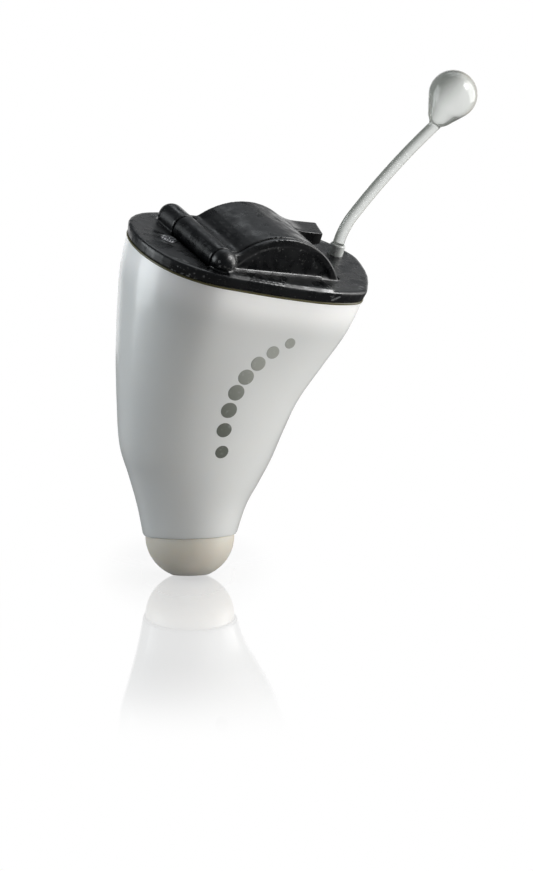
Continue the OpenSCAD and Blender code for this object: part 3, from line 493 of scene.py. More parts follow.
def nylon(paint, look, gloss, speck_and_highlight_share, shine):
    """Black moulded nylon: grain, handling specks, and paler edges that are painted highlights
    broken up like wear.
    """
    grain = paint.noise(3200, 5, 0.6)
    patch = paint.noise(700, 3)
    edge = paint.step(paint.node("NewGeometry", {}, {}, "Pointiness"), 0.53, 0.60)
    motes = paint.step(paint.noise(6400, 3), 0.64, 0.70) * (edge * 0.85 + 0.15)
    # Paler broken edges: painted highlight where the edges catch the lamps, broken up like wear
    wear_and_edge_highlight = edge * paint.step(paint.noise(2600, 5), 0.44, 0.60)
    body = paint.mix(patch, dimmed(look.plate_colour, 0.7), look.plate_colour)
    # The pale grey of the painted edge highlight, at the share of specks and highlight
    body_with_edge_highlight = paint.mix(wear_and_edge_highlight * (speck_and_highlight_share * 0.65), body, (0.26, 0.265, 0.27))
    wear = patch * 0.6 + paint.noise(1500, 2) * 0.4
    paint.principled({
        "Base Color": paint.mix(motes * speck_and_highlight_share, body_with_edge_highlight, (0.34, 0.34, 0.32)),
        "Roughness": paint.step(wear, 0.38, 0.62, gloss - 0.07, gloss + 0.2),
        "Normal": paint.bump(grain * 0.7 + patch * 0.3, 0.012),
        "Specular IOR Level": shine,
    })


def clear(paint, look):
    """Clear nylon, a little cloudy, with faint ripples of the draw."""
    ripple = paint.noise(260, 1)
    cloud = paint.noise(900, 2)
    paint.principled({
        "Base Color": paint.mix(cloud, dimmed(look.clear_colour, 0.96), look.clear_colour),
        "Roughness": paint.spread(cloud, 0.10, 0.16),
        "Normal": paint.bump(ripple, 0.004),
        "Transmission Weight": 0.86,
        "IOR": 1.42,
        "Specular IOR Level": 0.35,
    })


def milky(paint, look, tint, rough, clearness=0.5):
    """Translucent tube: part clear, part cloudy."""
    cloud = paint.noise(1600, 3)
    paint.principled({
        "Base Color": paint.mix(cloud, dimmed(tint, 0.9), tint),
        "Roughness": paint.spread(cloud, rough * 0.8, rough * 1.2),
        "Normal": paint.bump(cloud, 0.01),
        "Transmission Weight": clearness,
    })


def plastic(paint, look, tint, rough, grain=2400.0, depth=0.01):
    """Moulded or coated plastic with an even fine grain."""
    fine = paint.noise(grain, 4)
    broad = paint.noise(grain / 6, 2)
    paint.principled({
        "Base Color": paint.mix(broad, dimmed(tint, 0.82), tint),
        "Roughness": paint.spread(fine, rough * 0.85, min(rough * 1.15, 1.0)),
        "Normal": paint.bump(fine, depth),
    })


def metal(paint, look, tint, rough, stretch=(1.0, 1.0, 1.0)):
    """Metal with fine marks, drawn out along one axis where it was ground."""
    place = paint.node("Mapping", {}, {"Vector": paint.place(), "Scale": stretch})
    marks = paint.noise(5200, 3, 0.6, place)
    stain = paint.noise(600, 3)
    paint.principled({
        "Base Color": paint.mix(stain, dimmed(tint, 0.86), tint),
        "Roughness": paint.spread(marks * 0.6 + stain * 0.4, rough * 0.7, rough * 1.3),
        "Normal": paint.bump(marks, 0.004),
        "Metallic": 1.0,
    })


# Length of one band of the wave texture at a scale of 1
BAND = 0.314


def winding(paint, look, tint, pitch):
    """Enamelled wire wound side by side, pitch millimetres apart."""
    settings = {"wave_type": "BANDS", "bands_direction": "Z"}
    values = {"Vector": paint.place(), "Scale": BAND / (pitch * MM), "Distortion": 0.4}
    turns = paint.node("TexWave", settings, values, "Fac")
    paint.principled({
        # Darker between the turns: painted shade in the grooves between the wires
        "Base Color": paint.mix(turns, dimmed(tint, 0.35), tint),
        "Roughness": paint.step(turns, 0.0, 1.0, 0.5, 0.22),
        "Normal": paint.bump(turns, pitch * 0.3),
        "Metallic": 0.8,
    })


def board(paint, look):
    """Solder mask over copper tracks, with bare tinned pads."""
    values = {"Vector": paint.place(), "Scale": 1300.0}
    cells = paint.node("TexVoronoi", {"distance": "MANHATTAN"}, values, "Distance")
    tracks = paint.step(cells, 0.40, 0.44)
    pads = paint.step(cells, 0.12, 0.10)
    mask = paint.mix(tracks, (0.03, 0.16, 0.08), (0.08, 0.30, 0.15))
    paint.principled({
        "Base Color": paint.mix(pads, mask, (0.78, 0.76, 0.70)),
        "Roughness": paint.step(pads, 0.0, 1.0, 0.42, 0.25),
        "Metallic": pads,
        "Normal": paint.bump(tracks * 0.6 + pads * 0.4, 0.02),
    })


def print_ink(paint, look):
    """Grey pad-printed ink, paler towards the upper right, with fine pale flecks."""
    rise = paint.along(UP) * 0.6 + paint.along(RIGHT) * 0.8
    grain = paint.noise(4200, 4)
    tone = paint.step(rise, -7.2 * MM, -1.6 * MM)
    colour = paint.mix(tone, look.ink_dark, look.ink_pale)
    paint.principled({
        "Base Color": paint.mix(paint.step(grain, 0.55, 0.75) * 0.2, colour, (0.6, 0.6, 0.6)),
        "Roughness": paint.spread(grain, 0.32, 0.5),
        "Normal": paint.bump(grain, 0.004),
    })


# The recipe of each finish, and its settings
FINISHES = {
    "shell_acrylic": (acrylic,),
    "bond_adhesive": (plastic, (0.11, 0.10, 0.04), 0.4, 1500.0),
    "tip_silicone": (silicone,),
    "faceplate_black": (nylon, 0.22, 0.9, 0.40),
    "door_black": (nylon, 0.28, 0.2, 0.30),
    "steel": (metal, (0.60, 0.60, 0.61), 0.28, (1.0, 0.08, 1.0)),
    "screen_mesh": (metal, (0.24, 0.24, 0.25), 0.4),
    "clear_nylon": (clear,),
    "black_rubber": (plastic, (0.03, 0.03, 0.032), 0.8, 3600.0, 0.02),
    "grey_rubber": (plastic, (0.16, 0.16, 0.165), 0.75, 3600.0, 0.02),
    "bay_plastic": (plastic, (0.03, 0.032, 0.036), 0.55),
    "gold_plate": (metal, (0.86, 0.62, 0.24), 0.22, (1.0, 1.0, 0.1)),
    "board_green": (board,),
    "chip_black": (plastic, (0.025, 0.025, 0.028), 0.6, 5200.0, 0.012),
    "ceramic_tan": (plastic, (0.46, 0.33, 0.18), 0.5, 4200.0),
    "copper_winding": (winding, (0.72, 0.30, 0.12), 0.05),
    "magnet_grey": (metal, (0.30, 0.30, 0.32), 0.45),
    "clear_silicone": (milky, (0.80, 0.82, 0.80), 0.3),
    "vent_plastic": (milky, (0.80, 0.82, 0.81), 0.35),
    "collar_nylon": (milky, (0.88, 0.90, 0.88), 0.3, 0.3),
    "printed_ink": (print_ink,),
    "red_wire": (plastic, (0.42, 0.02, 0.016), 0.35, 3000.0, 0.006),
    "amber_wire": (plastic, (0.46, 0.18, 0.02), 0.35, 3000.0, 0.006),
    "blue_wire": (plastic, (0.02, 0.05, 0.26), 0.35, 3000.0, 0.006),
    "cell_steel": (metal, (0.66, 0.66, 0.67), 0.2, (1.0, 0.1, 1.0)),
    "cell_cap_steel": (metal, (0.60, 0.60, 0.60), 0.32, (0.1, 1.0, 1.0)),
    "gasket_nylon": (plastic, (0.70, 0.70, 0.66), 0.5),
    "guard_white": (plastic, (0.78, 0.78, 0.75), 0.4, 2600.0, 0.008),
}


def finish(name):
    """The material of a finish, built once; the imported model's own go by the bare name."""
    made = bpy.data.materials.get(name + "_finish")
    if made is None:
        made = bpy.data.materials.new(name + "_finish")
        recipe, *settings = FINISHES[name]
        recipe(Paint(made), bpy.context.scene.aid_looks, *settings)
    return made


# Settings


def colour_property(name, description, default):
    """A colour that the panel shows as a swatch."""
    return FloatVectorProperty(
        name=name, description=description, default=default, subtype="COLOR", min=0, max=1
    )


class AidLooks(PropertyGroup):
    """Colours and finishes of the visible pieces."""

    shell_colour: colour_property("Shell", "Colour of the cast shell", (0.76, 0.77, 0.765))
    shell_gloss: FloatProperty(
        name="Shell roughness", description="Roughness of the polished shell",
        default=0.24, min=0, max=1, subtype="FACTOR",
    )
    tip_colour: colour_property("Tip cap", "Colour of the soft tip cap", (0.74, 0.70, 0.62))
    plate_colour: colour_property(
        "Faceplate", "Colour of the black moulded pieces", (0.005, 0.0056, 0.0065)
    )
    clear_colour: colour_property("Clear parts", "Tint of the line and knob", (0.90, 0.92, 0.90))
    ink_dark: colour_property("Ink, dark end", "Darkest printed grey", (0.13, 0.14, 0.12))
    ink_pale: colour_property("Ink, pale end", "Palest printed grey", (0.36, 0.37, 0.34))


class AidSizes(PropertyGroup):
    """Small sizes that only the looks hold."""

    mould_grain: FloatProperty(
        name="Mould grain", description="Cell size of the moulded pieces, in millimetres",
        default=0.055, min=0.03, max=0.2,
    )
    ink_height: FloatProperty(
        name="Ink height", description="Height of the printed dots above the shell",
        default=0.012 * MM, min=0, max=0.1 * MM, unit="LENGTH", precision=6,
    )
    bead_bulge: FloatProperty(
        name="Bead bulge", description="How far the adhesive bead stands out",
        default=0.03 * MM, min=0, max=0.1 * MM, unit="LENGTH", precision=6,
    )
    thread_pitch: FloatProperty(
        name="Mesh pitch", description="Distance between the threads of the port mesh",
        default=0.11 * MM, min=0.05 * MM, max=0.3 * MM, unit="LENGTH", precision=6,
    )


class AidStage(PropertyGroup):
    """Lens, lamps and floor."""

    lens: FloatProperty(
        name="Lens", description="Focal length of the camera, in millimetres",
        default=600, min=100, max=1000,
    )
    key_power: FloatProperty(
        name="Key", description="Power of the right softbox", default=0.28, min=0, unit="POWER"
    )
    fill_power: FloatProperty(
        name="Fill", description="Power of the left softbox", default=0.205, min=0, unit="POWER"
    )
    top_power: FloatProperty(
        name="Top", description="Power of the upper softbox", default=0.05, min=0, unit="POWER"
    )
    low_power: FloatProperty(
        name="Low", description="Power of the small low softbox", default=0.012, min=0, unit="POWER"
    )
    spark_power: FloatProperty(
        name="Spark", description="Power of the lamp that only shines off the edges",
        default=0.2, min=0, unit="POWER",
    )
    room_light: FloatProperty(
        name="Room", description="Strength of the even light", default=0.07, min=0, max=2
    )
    floor_rise: FloatProperty(
        name="Floor rise", description="Angle at which the lens looks down on the floor",
        default=math.radians(12), min=0, max=1, subtype="ANGLE",
    )


# Pieces


class PieceOperator:
    """What every piece's operator shares."""

    bl_options = {"REGISTER", "UNDO"}


class MakeShell(PieceOperator, Operator):
    """Cast the hollow shell with its bored and vented end"""

    bl_idname = "aid.shell"
    bl_label = "Shell"
    rows, inner_rows, inner_share = 72, 44, 0.88
    # Inset from the end's radius, and distance out from the end
    end_edge = ((0, -0.14), (0.01, -0.06), (0.04, -0.015), (0.1, 0))

    def execute(self, context):
        outside = [section(on_run(STATIONS, k / self.rows), 0) for k in range(self.rows)]
        edge = [(TIP_R - inset, out) for inset, out in self.end_edge]
        bore = [
            (SPIGOT_R + GAP, 0), (SPIGOT_R + GAP, -SPIGOT_L - GAP),
            (TUBE_R + GAP, -SPIGOT_L - GAP), (TUBE_R + GAP, -TIP_FLOOR), (TIP_R - WALL, -TIP_FLOOR),
        ]
        inside = [
            section(on_run(STATIONS, k * self.inner_share / self.inner_rows), WALL)
            for k in range(self.inner_rows - 1, -1, -1)
        ]
        rings = outside + [canal_ring(*e) for e in edge + bore] + inside
        shell = skin("shell_cast", rings, looped=True)
        vented(shell, -TIP_FLOOR, 0)
        fitted(shell, "shell_acrylic", "housing", "shell")
        return {"FINISHED"}


class MakePrint(PieceOperator, Operator):
    """Print an arc of graduated round grey dots on the shell"""

    bl_idname = "aid.printed_dots"
    bl_label = "Printed dots"
    # Pixels of the picture: three points that draw the arc, and the dots' radii
    start, bow, end = (222, 452), (226, 372), (290, 344)
    small, large = 3.2, 8.6
    count, steps = 8, 36
    # Start and share of the half sine that the radii follow
    swell_start, swell_share = 0.25, 0.6
    # Share of the radius, and of the ink's height
    layers = ((0.0, 1.0), (0.35, 1.0), (0.7, 1.0), (0.93, 1.0), (1.0, 0.6), (1.02, -0.8))
    ray_start = 40

    def execute(self, context):
        shell = bpy.data.objects["shell_cast"]
        skin_tree = BVHTree.FromObject(shell, context.evaluated_depsgraph_get())
        height = context.scene.aid_sizes.ink_height
        points, faces = [], []
        for k in range(self.count):
            t = k / (self.count - 1)
            a, b, c = (1 - t) ** 2, 2 * t * (1 - t), t * t
            x, y = (a * self.start[i] + b * self.bow[i] + c * self.end[i] for i in (0, 1))
            swell = math.sin(math.pi * (self.swell_start + self.swell_share * t))
            radius = self.small + (self.large - self.small) * swell
            self.dot(skin_tree, at_pixel(x, y), radius / PIXELS_PER_MM, height, points, faces)
        dots = piece("printed_dots", [p / MM for p in points], faces, 50)
        fitted(dots, "shell_acrylic", "housing", coat="printed_ink")
        return {"FINISHED"}

    def dot(self, skin_tree, middle, radius, height, points, faces):
        """Adds one dot, laid on the shell where the lens sees its middle."""
        eye = (middle + BACK * self.ray_start) * MM
        spot, normal, _, _ = skin_tree.ray_cast(eye, -BACK)
        side = normal.orthogonal().normalized()
        other = normal.cross(side)
        steps, base = self.steps, len(points)
        for share, lift in self.layers:
            reach = radius * share * MM
            for a in turns(steps):
                guess = spot + (side * math.cos(a) + other * math.sin(a)) * reach
                near, out, _, _ = skin_tree.find_nearest(guess)
                points.append(near + out * height * lift)
        for k in range(len(self.layers) - 1):
            for i in range(steps):
                j = (i + 1) % steps
                a, b = base + k * steps, base + (k + 1) * steps
                if k == 0:
                    faces.append((a, b + i, b + j))
                else:
                    faces.append((a + i, b + i, b + j, a + j))


class MakeBead(PieceOperator, Operator):
    """Lay the adhesive bead between shell and faceplate"""

    bl_idname = "aid.bond_bead"
    bl_label = "Adhesive bead"
    # Steps across the bead, and lumps round the rim, of least to most of the bulge
    steps, lumps, seed, least, most = 6, 18, 4, 0.6, 1.3

    def execute(self, context):
        bulge = context.scene.aid_sizes.bead_bulge / MM
        profile = [
            (bulge * math.sin(math.pi * k / self.steps), BOND_T * k / self.steps)
            for k in range(self.steps + 1)
        ]
        profile += [(-WALL, BOND_T), (-WALL, 0.0)]
        rim = [np.array(p) for p in section(STATIONS[0], 0)]
        rng = random.Random(self.seed)
        sway = [rng.uniform(self.least, self.most) for _ in range(self.lumps)]
        rings = []
        for k, p in enumerate(rim):
            flat = np.array((p[0] / RIM_L, p[1] / RIM_W, 0))
            flat /= np.linalg.norm(flat)
            lump = float(on_loop(sway, k / len(rim)))
            rings.append([
                p + flat * (out * lump if out > 0 else out) + np.array((0, 0, z))
                for out, z in profile
            ])
        fitted(skin("bond_bead", rings, looped=True), "bond_adhesive", "housing", "bond_line")
        return {"FINISHED"}


class MakeTipCap(PieceOperator, Operator):
    """Mould the soft domed cap on the canal end"""

    bl_idname = "aid.tip_cap"
    bl_label = "Tip cap"
    # The dome's steps, and the degrees by which it stops short of the seat
    dome_steps, dome_stop = 26, 1.5
    # Inset from the cap's radius, and distance out from the shell
    base_edge = ((0.1, 0), (0.03, 0.01), (0, 0.05))
    # How much wider the mouth is than the seat, and how deep its edge goes
    mouth_wide, mouth_deep = 0.02, 0.03

    def execute(self, context):
        end = math.degrees(math.asin((GUARD_FACE - CAP_STRAIGHT) / (CAP_L - CAP_STRAIGHT)))
        dome = [
            (CAP_R * x, CAP_STRAIGHT + (CAP_L - CAP_STRAIGHT) * y)
            for x, y in arc(0, 0, 1, 0, end - self.dome_stop, self.dome_steps)
        ]
        seat_r = FLANGE_R + GAP
        profile = [
            (SPIGOT_R, -SPIGOT_L), (SPIGOT_R, 0),
            *((CAP_R - inset, out) for inset, out in self.base_edge), *dome,
            (seat_r + self.mouth_wide, GUARD_FACE), (seat_r, GUARD_FACE - self.mouth_deep),
            (seat_r, GUARD_SEAT), (GUARD_R + GAP, GUARD_SEAT), (GUARD_R + GAP, -SPIGOT_L),
        ]
        cap = turned("tip_cap_moulded", profile, CANAL)
        vented(cap, 0, CAP_L)
        fitted(cap, "tip_silicone", "housing", "tip_cap")
        return {"FINISHED"}


class MakePlate(PieceOperator, Operator):
    """Mould the black faceplate with its cheek, ledge and hinge ears"""

    bl_idname = "aid.faceplate"
    bl_label = "Faceplate"

    def execute(self, context):
        fitted(moulded("faceplate", passes=7), "faceplate_black", "housing", "faceplate")
        return {"FINISHED"}


class MakeDoor(PieceOperator, Operator):
    """Mould the arched battery door with its barrel, nail lip and cradle"""

    bl_idname = "aid.battery_door"
    bl_label = "Battery door"

    def execute(self, context):
        door = moulded("battery_door", passes=10)
        fitted(door, "door_black", "battery_door", "battery_door")
        return {"FINISHED"}


class MakeRemovalLine(PieceOperator, Operator):
    """Draw the clear removal line out into its drop-shaped knob"""

    bl_idname = "aid.removal_line"
    bl_label = "Removal line"
    bend_steps, drop_steps, ball_steps, sides = 26, 16, 26, 36
    # Where in the plate's thickness the line starts, its first rise, and the neck's first swell
    foot_share, first_rise, neck_share, neck_rise = 0.35, 0.2, 1.02, 0.45
    # The angle and least radius at which the drop's top closes
    crown, crown_r = 89, 0.02

    def line(self):
        """Points of the line, and the place of its end."""
        x, z, lean = LINE_X, LINE_STRAIGHT, 0.0
        heights = (PLATE_T * self.foot_share, PLATE_T + self.first_rise, z)
        points = [(x, LINE_Y, height) for height in heights]
        for radius, turn in LINE_BENDS:
            turn = math.radians(turn)
            cx, cz = x + radius * math.cos(lean), z - radius * math.sin(lean)
            for k in range(1, self.bend_steps + 1):
                a = lean + turn * k / self.bend_steps
                points.append((cx - radius * math.cos(a), LINE_Y, cz + radius * math.sin(a)))
            x, _, z = points[-1]
            lean += turn
        return points, Vector((x, LINE_Y, z))

    def execute(self, context):
        points, end = self.line()
        radii = [LINE_R] * len(points)
        ahead = Vector((math.sin(KNOB_LEAN), 0, math.cos(KNOB_LEAN)))
        reach = math.hypot(KNOB_ROOT_R, KNOB_NECK)
        taper = math.asin(KNOB_R / reach) - math.atan2(KNOB_ROOT_R, KNOB_NECK)
        cone = KNOB_NECK - KNOB_R * math.sin(taper)
        neck = LINE_R * self.neck_share
        for k in range(2, self.drop_steps):
            h = cone * k / self.drop_steps
            wide = KNOB_ROOT_R + (KNOB_R * math.cos(taper) - KNOB_ROOT_R) * h / cone
            ease = min(1, h / self.neck_rise)
            ease = ease * ease * (3 - 2 * ease)
            points.append(end + ahead * h)
            radii.append(neck + (wide - neck) * ease)
        for x, y in arc(0, 0, KNOB_R, -math.degrees(taper), self.crown, self.ball_steps):
            points.append(end + ahead * (KNOB_NECK + y))
            radii.append(max(x, self.crown_r))
        line = swept("removal_line_drawn", points, radii, self.sides)
        fitted(line, "clear_nylon", "housing", "removal_line", "removal_knob")
        return {"FINISHED"}


class MakeCollar(PieceOperator, Operator):
    """Turn the small clear collar at the foot of the line"""

    bl_idname = "aid.line_collar"
    bl_label = "Line collar"
    # Play round the line, radius of the edge, and drop of the top
    play, edge_r, drop, sides = 0.01, 0.1, 0.02, 40

    def execute(self, context):
        top, bore = PLATE_T + COLLAR_H - self.drop, LINE_R + self.play
        edge = arc(COLLAR_R - self.edge_r, top - self.edge_r, self.edge_r, 0, 90, 6)
        profile = [(bore, PLATE_T), (COLLAR_R, PLATE_T), *edge, (bore, top)]
        place = Matrix.Translation((LINE_X, LINE_Y, 0))
        collar = turned("line_collar_turned", profile, place, self.sides)
        fitted(collar, "clear_nylon", "housing", "line_collar", coat="collar_nylon")
        return {"FINISHED"}


class MakePortMesh(PieceOperator, Operator):
    """Weave the fine mesh over the microphone port"""

    bl_idname = "aid.port_mesh"
    bl_label = "Port mesh"
    # A thread's width as a share of the pitch, and how far its ends stay in from the edge
    thread_share, margin, steps, sides = 0.3, 0.05, 28, 6
    rim_inset, rim_r, rim_steps = 0.07, 0.035, 12

    def execute(self, context):
        pitch = context.scene.aid_sizes.thread_pitch / MM
        thread = pitch * self.thread_share
        centre = Vector(SCREEN_PLACE)
        reach = SCREEN_R - self.margin
        count = int(reach / pitch)
        points, faces = [], []
        for across in (0, 1):
            for k in range(-count, count + 1):
                half = math.sqrt(reach ** 2 - (k * pitch) ** 2)
                faces += ring_faces(self.sides, self.steps + 1, base=len(points))
                for i in range(self.steps + 1):
                    s = -half + 2 * half * i / self.steps
                    lift = thread * 0.5 * math.cos(math.pi * (s / pitch + k + across))
                    for off, z in circle(k * pitch, lift, thread / 2, self.sides):
                        points.append(centre + Vector((off, s, z) if across else (s, off, z)))
        woven = piece("port_mesh_woven", points, faces, 60)
        bar = circle(SCREEN_R - self.rim_inset, 0, self.rim_r, self.rim_steps)
        rim = turned("port_mesh_rim", bar, Matrix.Translation(centre), 48)
        fitted(woven, "screen_mesh", "housing", "port_screen")
        fitted(rim, "screen_mesh", "housing")
        return {"FINISHED"}


def dressed(edges):
    """Finishes CAD nodes in their own slots, each with its edges broken by a width."""
    slots = {part["node"]: part["material_slot"] for part in frame["record"]["subparts"]}
    for node, width in edges.items():
        obj = frame["nodes"][node]
        obj.data.materials.clear()
        obj.data.materials.append(finish(slots[node]))
        if width:
            modified(obj, "WELD", merge_threshold=SAME_PLACE)
            modified(
                obj, "BEVEL", width=width * MM, segments=2, limit_method="ANGLE",
                angle_limit=math.radians(50), use_clamp_overlap=True,
            )


class FinishGuard(PieceOperator, Operator):
    """Finish the pull-out wax guard and its screen"""

    bl_idname = "aid.wax_guard"
    bl_label = "Wax guard"
    edges = {"wax_guard": 0.03, "wax_guard_screen": 0}

    def execute(self, context):
        dressed(self.edges)
        return {"FINISHED"}


class FinishCell(PieceOperator, Operator):
    """Finish the battery, its bay, contacts and hinge pin"""

    bl_idname = "aid.battery"
    bl_label = "Battery and bay"
    edges = {
        "battery_can": 0.04, "battery_gasket": 0, "battery_cap": 0.04, "battery_bay": 0.03,
        "positive_contact": 0.02, "negative_contact": 0.02, "hinge_pin": 0.04,
    }

    def execute(self, context):
        dressed(self.edges)
        return {"FINISHED"}


class FinishElectronics(PieceOperator, Operator):
    """Finish the microphone, the amplifier board and what it carries"""

    bl_idname = "aid.electronics"
    bl_label = "Electronics"
    edges = {
        "microphone": 0.05, "microphone_grommet": 0.04, "board_pad": 0.04, "amplifier_board": 0,
        "amplifier_chip": 0.03, "memory_chip": 0.03, "capacitors": 0.03,
    }

    def execute(self, context):
        dressed(self.edges)
        return {"FINISHED"}


class FinishReceiver(PieceOperator, Operator):
    """Finish the receiver, its motor, boot and tubes"""

    bl_idname = "aid.receiver"
    bl_label = "Receiver and tubes"
    edges = {
        "receiver_case": 0.05, "receiver_cover": 0.03, "receiver_spout": 0, "receiver_coil": 0,
        "receiver_magnets": 0.02, "receiver_armature": 0, "receiver_terminals": 0.02,
        "receiver_boot": 0.05, "receiver_tube": 0, "vent_tube": 0,
    }

    def execute(self, context):
        dressed(self.edges)
        return {"FINISHED"}


class FinishWires(PieceOperator, Operator):
    """Finish the enamelled wires"""

    bl_idname = "aid.wires"
    bl_label = "Wires"
    edges = {"microphone_wires": 0, "receiver_wires": 0, "battery_wires": 0}

    def execute(self, context):
        dressed(self.edges)
        return {"FINISHED"}


# Stage

# Each lamp's direction, distance, size, colour and aim, along the picture
LAMPS = {
    "key_lamp": ((0.95, 0.22, -0.16), 150, (110, 170), (1, 0.99, 0.97), (0, -5, 0)),
    "fill_lamp": ((-0.98, 0.12, 0.02), 150, (90, 170), (0.93, 0.98, 1), (0, -5, 0)),
    "low_lamp": ((0.85, -0.35, 0.25), 42, (16, 30), (1, 0.99, 0.96), (-2, -15, 0)),
    "front_lamp": ((0.62, -0.1, 0.75), 17, (7, 7), (1, 0.99, 0.96), (-2, -13, 0)),
    "spark_lamp": ((0.82, 0.53, 0.19), 150, (60, 60), (1, 1, 1), (0, -5, 0)),
    "top_lamp": ((0.25, 0.9, -0.35), 150, (120, 80), (0.93, 0.97, 1), (0, -5, 0)),
}


def softbox(name, power):
    """An area lamp, turned to its aim and hidden from the lens."""
    toward, distance, size, colour, aim = LAMPS[name]
    data = bpy.data.lights.new(name, "AREA")
    data.shape = "RECTANGLE"
    data.size, data.size_y = size[0] * MM, size[1] * MM
    data.energy, data.color = power, colour
    lamp = bpy.data.objects.new(name, data)
    target = along(*aim) * MM
    lamp.location = target + along(*toward).normalized() * distance * MM
    lamp.rotation_mode = "QUATERNION"
    lamp.rotation_quaternion = (lamp.location - target).to_track_quat("Z", "Y")
    lamp.visible_camera = lamp.visible_transmission = False
    bpy.context.scene.collection.objects.link(lamp)
    return lamp


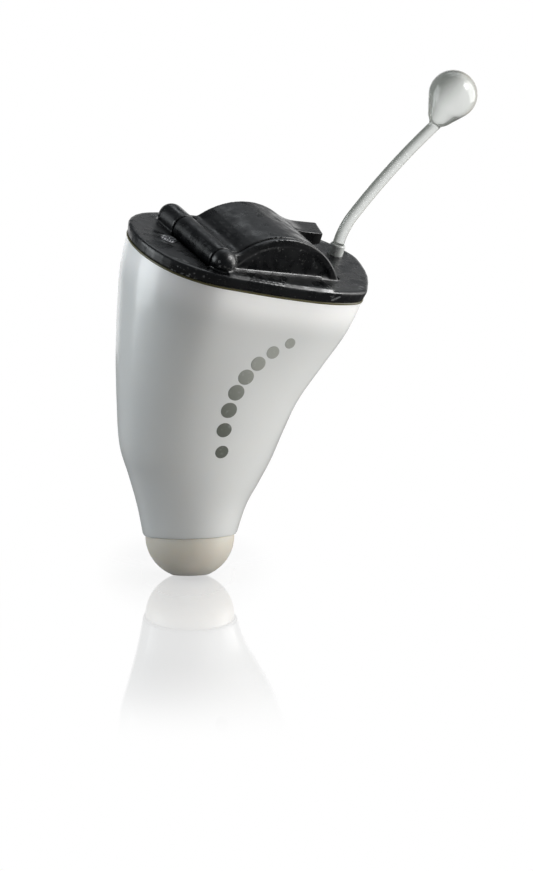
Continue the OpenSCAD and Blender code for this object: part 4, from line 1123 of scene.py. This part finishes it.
class MakeStage(PieceOperator, Operator):
    """Set the camera, softboxes, white room and mirror-smooth floor"""

    bl_idname = "aid.stage"
    bl_label = "Stage"
    # The floor's radius, how far down the picture its mirror is full and reaches, and its share
    floor_r, mirror_full, mirror_reach, mirror_share = 62.0, 4.6, 8.9, 0.32
    # Where the mirror starts, and the squared distances over which mirror and shadow fade out
    mirror_start, mirror_fade, shadow_fade = (-1.0, -0.2), (300.0, 110.0), (30.0, 0.0)
    # What the floor gives off to all but the lens, the shadow's share, and the front lamp's
    floor_glow, shadow_share, front_share = 0.14, 0.2, 0.115
    # What glossy rays see on the lens's side, and the tint of the even light
    mirrored_dark, even_tint = (0.16, 0.17, 0.18), (0.97, 1.0, 1.04)
    # What clear pieces see at the right and at the left
    clear_dark, clear_warm = (0.17, 0.18, 0.165), (0.60, 0.52, 0.40)

    def execute(self, context):
        stage = context.scene.aid_stage
        self.camera(context.scene, stage)
        softbox("key_lamp", stage.key_power)
        softbox("fill_lamp", stage.fill_power)
        softbox("top_lamp", stage.top_power)
        softbox("low_lamp", stage.low_power).visible_glossy = False
        softbox("front_lamp", stage.low_power * self.front_share).visible_glossy = False
        softbox("spark_lamp", stage.spark_power).visible_diffuse = False
        self.room(context.scene, stage)
        self.floor(stage)
        context.scene.view_settings.view_transform = "Standard"
        return {"FINISHED"}

    def camera(self, scene, stage):
        """A long lens that takes the picture's frame at its scale."""
        data = bpy.data.cameras.new("camera")
        data.lens, data.sensor_width = stage.lens, 36
        camera = bpy.data.objects.new("camera", data)
        distance = stage.lens * max(PICTURE) / (data.sensor_width * PIXELS_PER_MM)
        camera.rotation_mode = "QUATERNION"
        turn = Matrix((RIGHT, UP, BACK)).transposed()
        camera.rotation_quaternion = turn.to_quaternion()
        camera.location = (along(*AIM) + BACK * distance) * MM
        data.clip_start, data.clip_end = 0.01, 10
        scene.collection.objects.link(camera)
        scene.camera = camera

    def room(self, scene, stage):
        """A room that is white to the lens, and darker on the lens's side to all else."""
        world = bpy.data.worlds.new("room")
        scene.world = world
        paint = Paint(world)
        way = paint.node("TexCoord", {}, {}, "Generated")
        away, low_right = paint.dot(way, -BACK), paint.dot(way, (RIGHT - UP).normalized())
        behind = paint.step(away, 0.81, 0.89)
        through = paint.step(away, 0.1, 0.9) * paint.step(low_right, 0.52, -0.25)
        left = paint.step(paint.dot(way, -RIGHT), 0.1, 0.7)
        lens, glossy, cleared = paint.rays("Camera", "Glossy", "Transmission")
        white = (1, 1, 1)
        mirrored = paint.mix(behind, self.mirrored_dark, white)
        refracted = paint.mix(through, paint.mix(left, self.clear_dark, self.clear_warm), white)
        even = dimmed(self.even_tint, stage.room_light)
        light = paint.mix(glossy, even, mirrored)
        light = paint.mix(cleared, light, refracted)
        light = paint.mix(lens, light, white)
        shader = paint.node("Background", {}, {"Color": light})
        paint.node("OutputWorld", {}, {"Surface": shader})

    def floor(self, stage):
        """A pale disc under the tip."""
        normal = along(0, math.cos(stage.floor_rise), math.sin(stage.floor_rise))
        corners = [v.co for n in ("tip_cap", "wax_guard") for v in frame["nodes"][n].data.vertices]
        foot = min(corners, key=normal.dot) - normal * GAP * MM
        axes = Matrix((RIGHT, normal.cross(RIGHT), normal)).transposed().to_4x4()
        disc = bpy.data.meshes.new("floor")
        ring = [(x * MM, y * MM, 0) for x, y in circle(0, 0, self.floor_r, 192)]
        disc.from_pydata(ring, [], [tuple(range(len(ring)))])
        floor = bpy.data.objects.new("floor", disc)
        floor.matrix_world = Matrix.Translation(foot) @ axes
        bpy.context.scene.collection.objects.link(floor)
        floor.data.materials.append(self.floor_finish(stage))

    def floor_finish(self, stage):
        """The floor's material: white to the lens, mirror-smooth in front of the foot."""
        made = bpy.data.materials.new("floor")
        paint = Paint(made)
        fall = paint.along((0, -1, 0)) * (math.sin(stage.floor_rise) / MM)
        aside = paint.along((1, 0, 0)) * (1 / MM)
        near = paint.step(fall, self.mirror_reach, self.mirror_full)
        near = near * paint.step(fall, *self.mirror_start)
        near = near * paint.step(fall * fall * 3 + aside * aside, *self.mirror_fade)
        grain = paint.noise(900, 3)
        lens, cleared = paint.rays("Camera", "Transmission")
        mirror = near * lens * self.mirror_share
        pale = paint.mix(lens, (self.floor_glow,) * 3, (1, 1, 1))
        pale = paint.node("Emission", {}, {"Color": pale})
        matt = paint.node("BsdfDiffuse", {}, {"Color": (0.9, 0.9, 0.9, 1)})
        shadow = paint.step(fall * fall * 4 + aside * aside, *self.shadow_fade) * self.shadow_share
        base = paint.node("MixShader", {}, {0: shadow, 1: pale, 2: matt})
        glass = paint.node("BsdfAnisotropic", {}, {
            "Color": (1, 1, 1, 1), "Roughness": paint.spread(grain, 0.02, 0.05),
        })
        front = paint.node("MixShader", {}, {0: mirror, 1: base, 2: glass})
        under = paint.node("BsdfTransparent", {}, {})
        back = paint.node("NewGeometry", {}, {}, "Backfacing")
        gone = 1 - (1 - back) * (1 - cleared)
        paint.surface(paint.node("MixShader", {}, {0: gone, 1: front, 2: under}))
        return made


OPERATORS = (
    MakeShell, MakePrint, MakeBead, MakeTipCap, MakePlate, MakeDoor, MakeRemovalLine, MakeCollar,
    MakePortMesh, FinishGuard, FinishCell, FinishElectronics, FinishReceiver, FinishWires,
    MakeStage,
)


class HearingAidPanel(Panel):
    """Lists the pieces and their settings"""

    bl_idname = "AID_PT_pieces"
    bl_label = "Hearing Aid"
    bl_space_type = "VIEW_3D"
    bl_region_type = "UI"
    bl_category = "Hearing Aid"

    def draw(self, context):
        column = self.layout.column()
        for operator in OPERATORS:
            column.operator(operator.bl_idname)
        for group in (getattr(context.scene, name) for name in GROUPS):
            box = self.layout.box()
            for key in group.bl_rna.properties.keys():
                if key not in ("rna_type", "name"):
                    box.prop(group, key)


GROUPS = {"aid_looks": AidLooks, "aid_sizes": AidSizes, "aid_stage": AidStage}


def register():
    for group in (*GROUPS.values(), *OPERATORS, HearingAidPanel):
        bpy.utils.register_class(group)
    for key, group in GROUPS.items():
        setattr(bpy.types.Scene, key, PointerProperty(type=group))


def unregister():
    for key in GROUPS:
        delattr(bpy.types.Scene, key)
    for group in (HearingAidPanel, *reversed(OPERATORS), *GROUPS.values()):
        bpy.utils.unregister_class(group)


def main():
    """Builds every piece and the stage."""
    register()
    for operator in OPERATORS:
        group, name = operator.bl_idname.split(".")
        getattr(getattr(bpy.ops, group), name)()


if __name__ == "__main__":
    main()
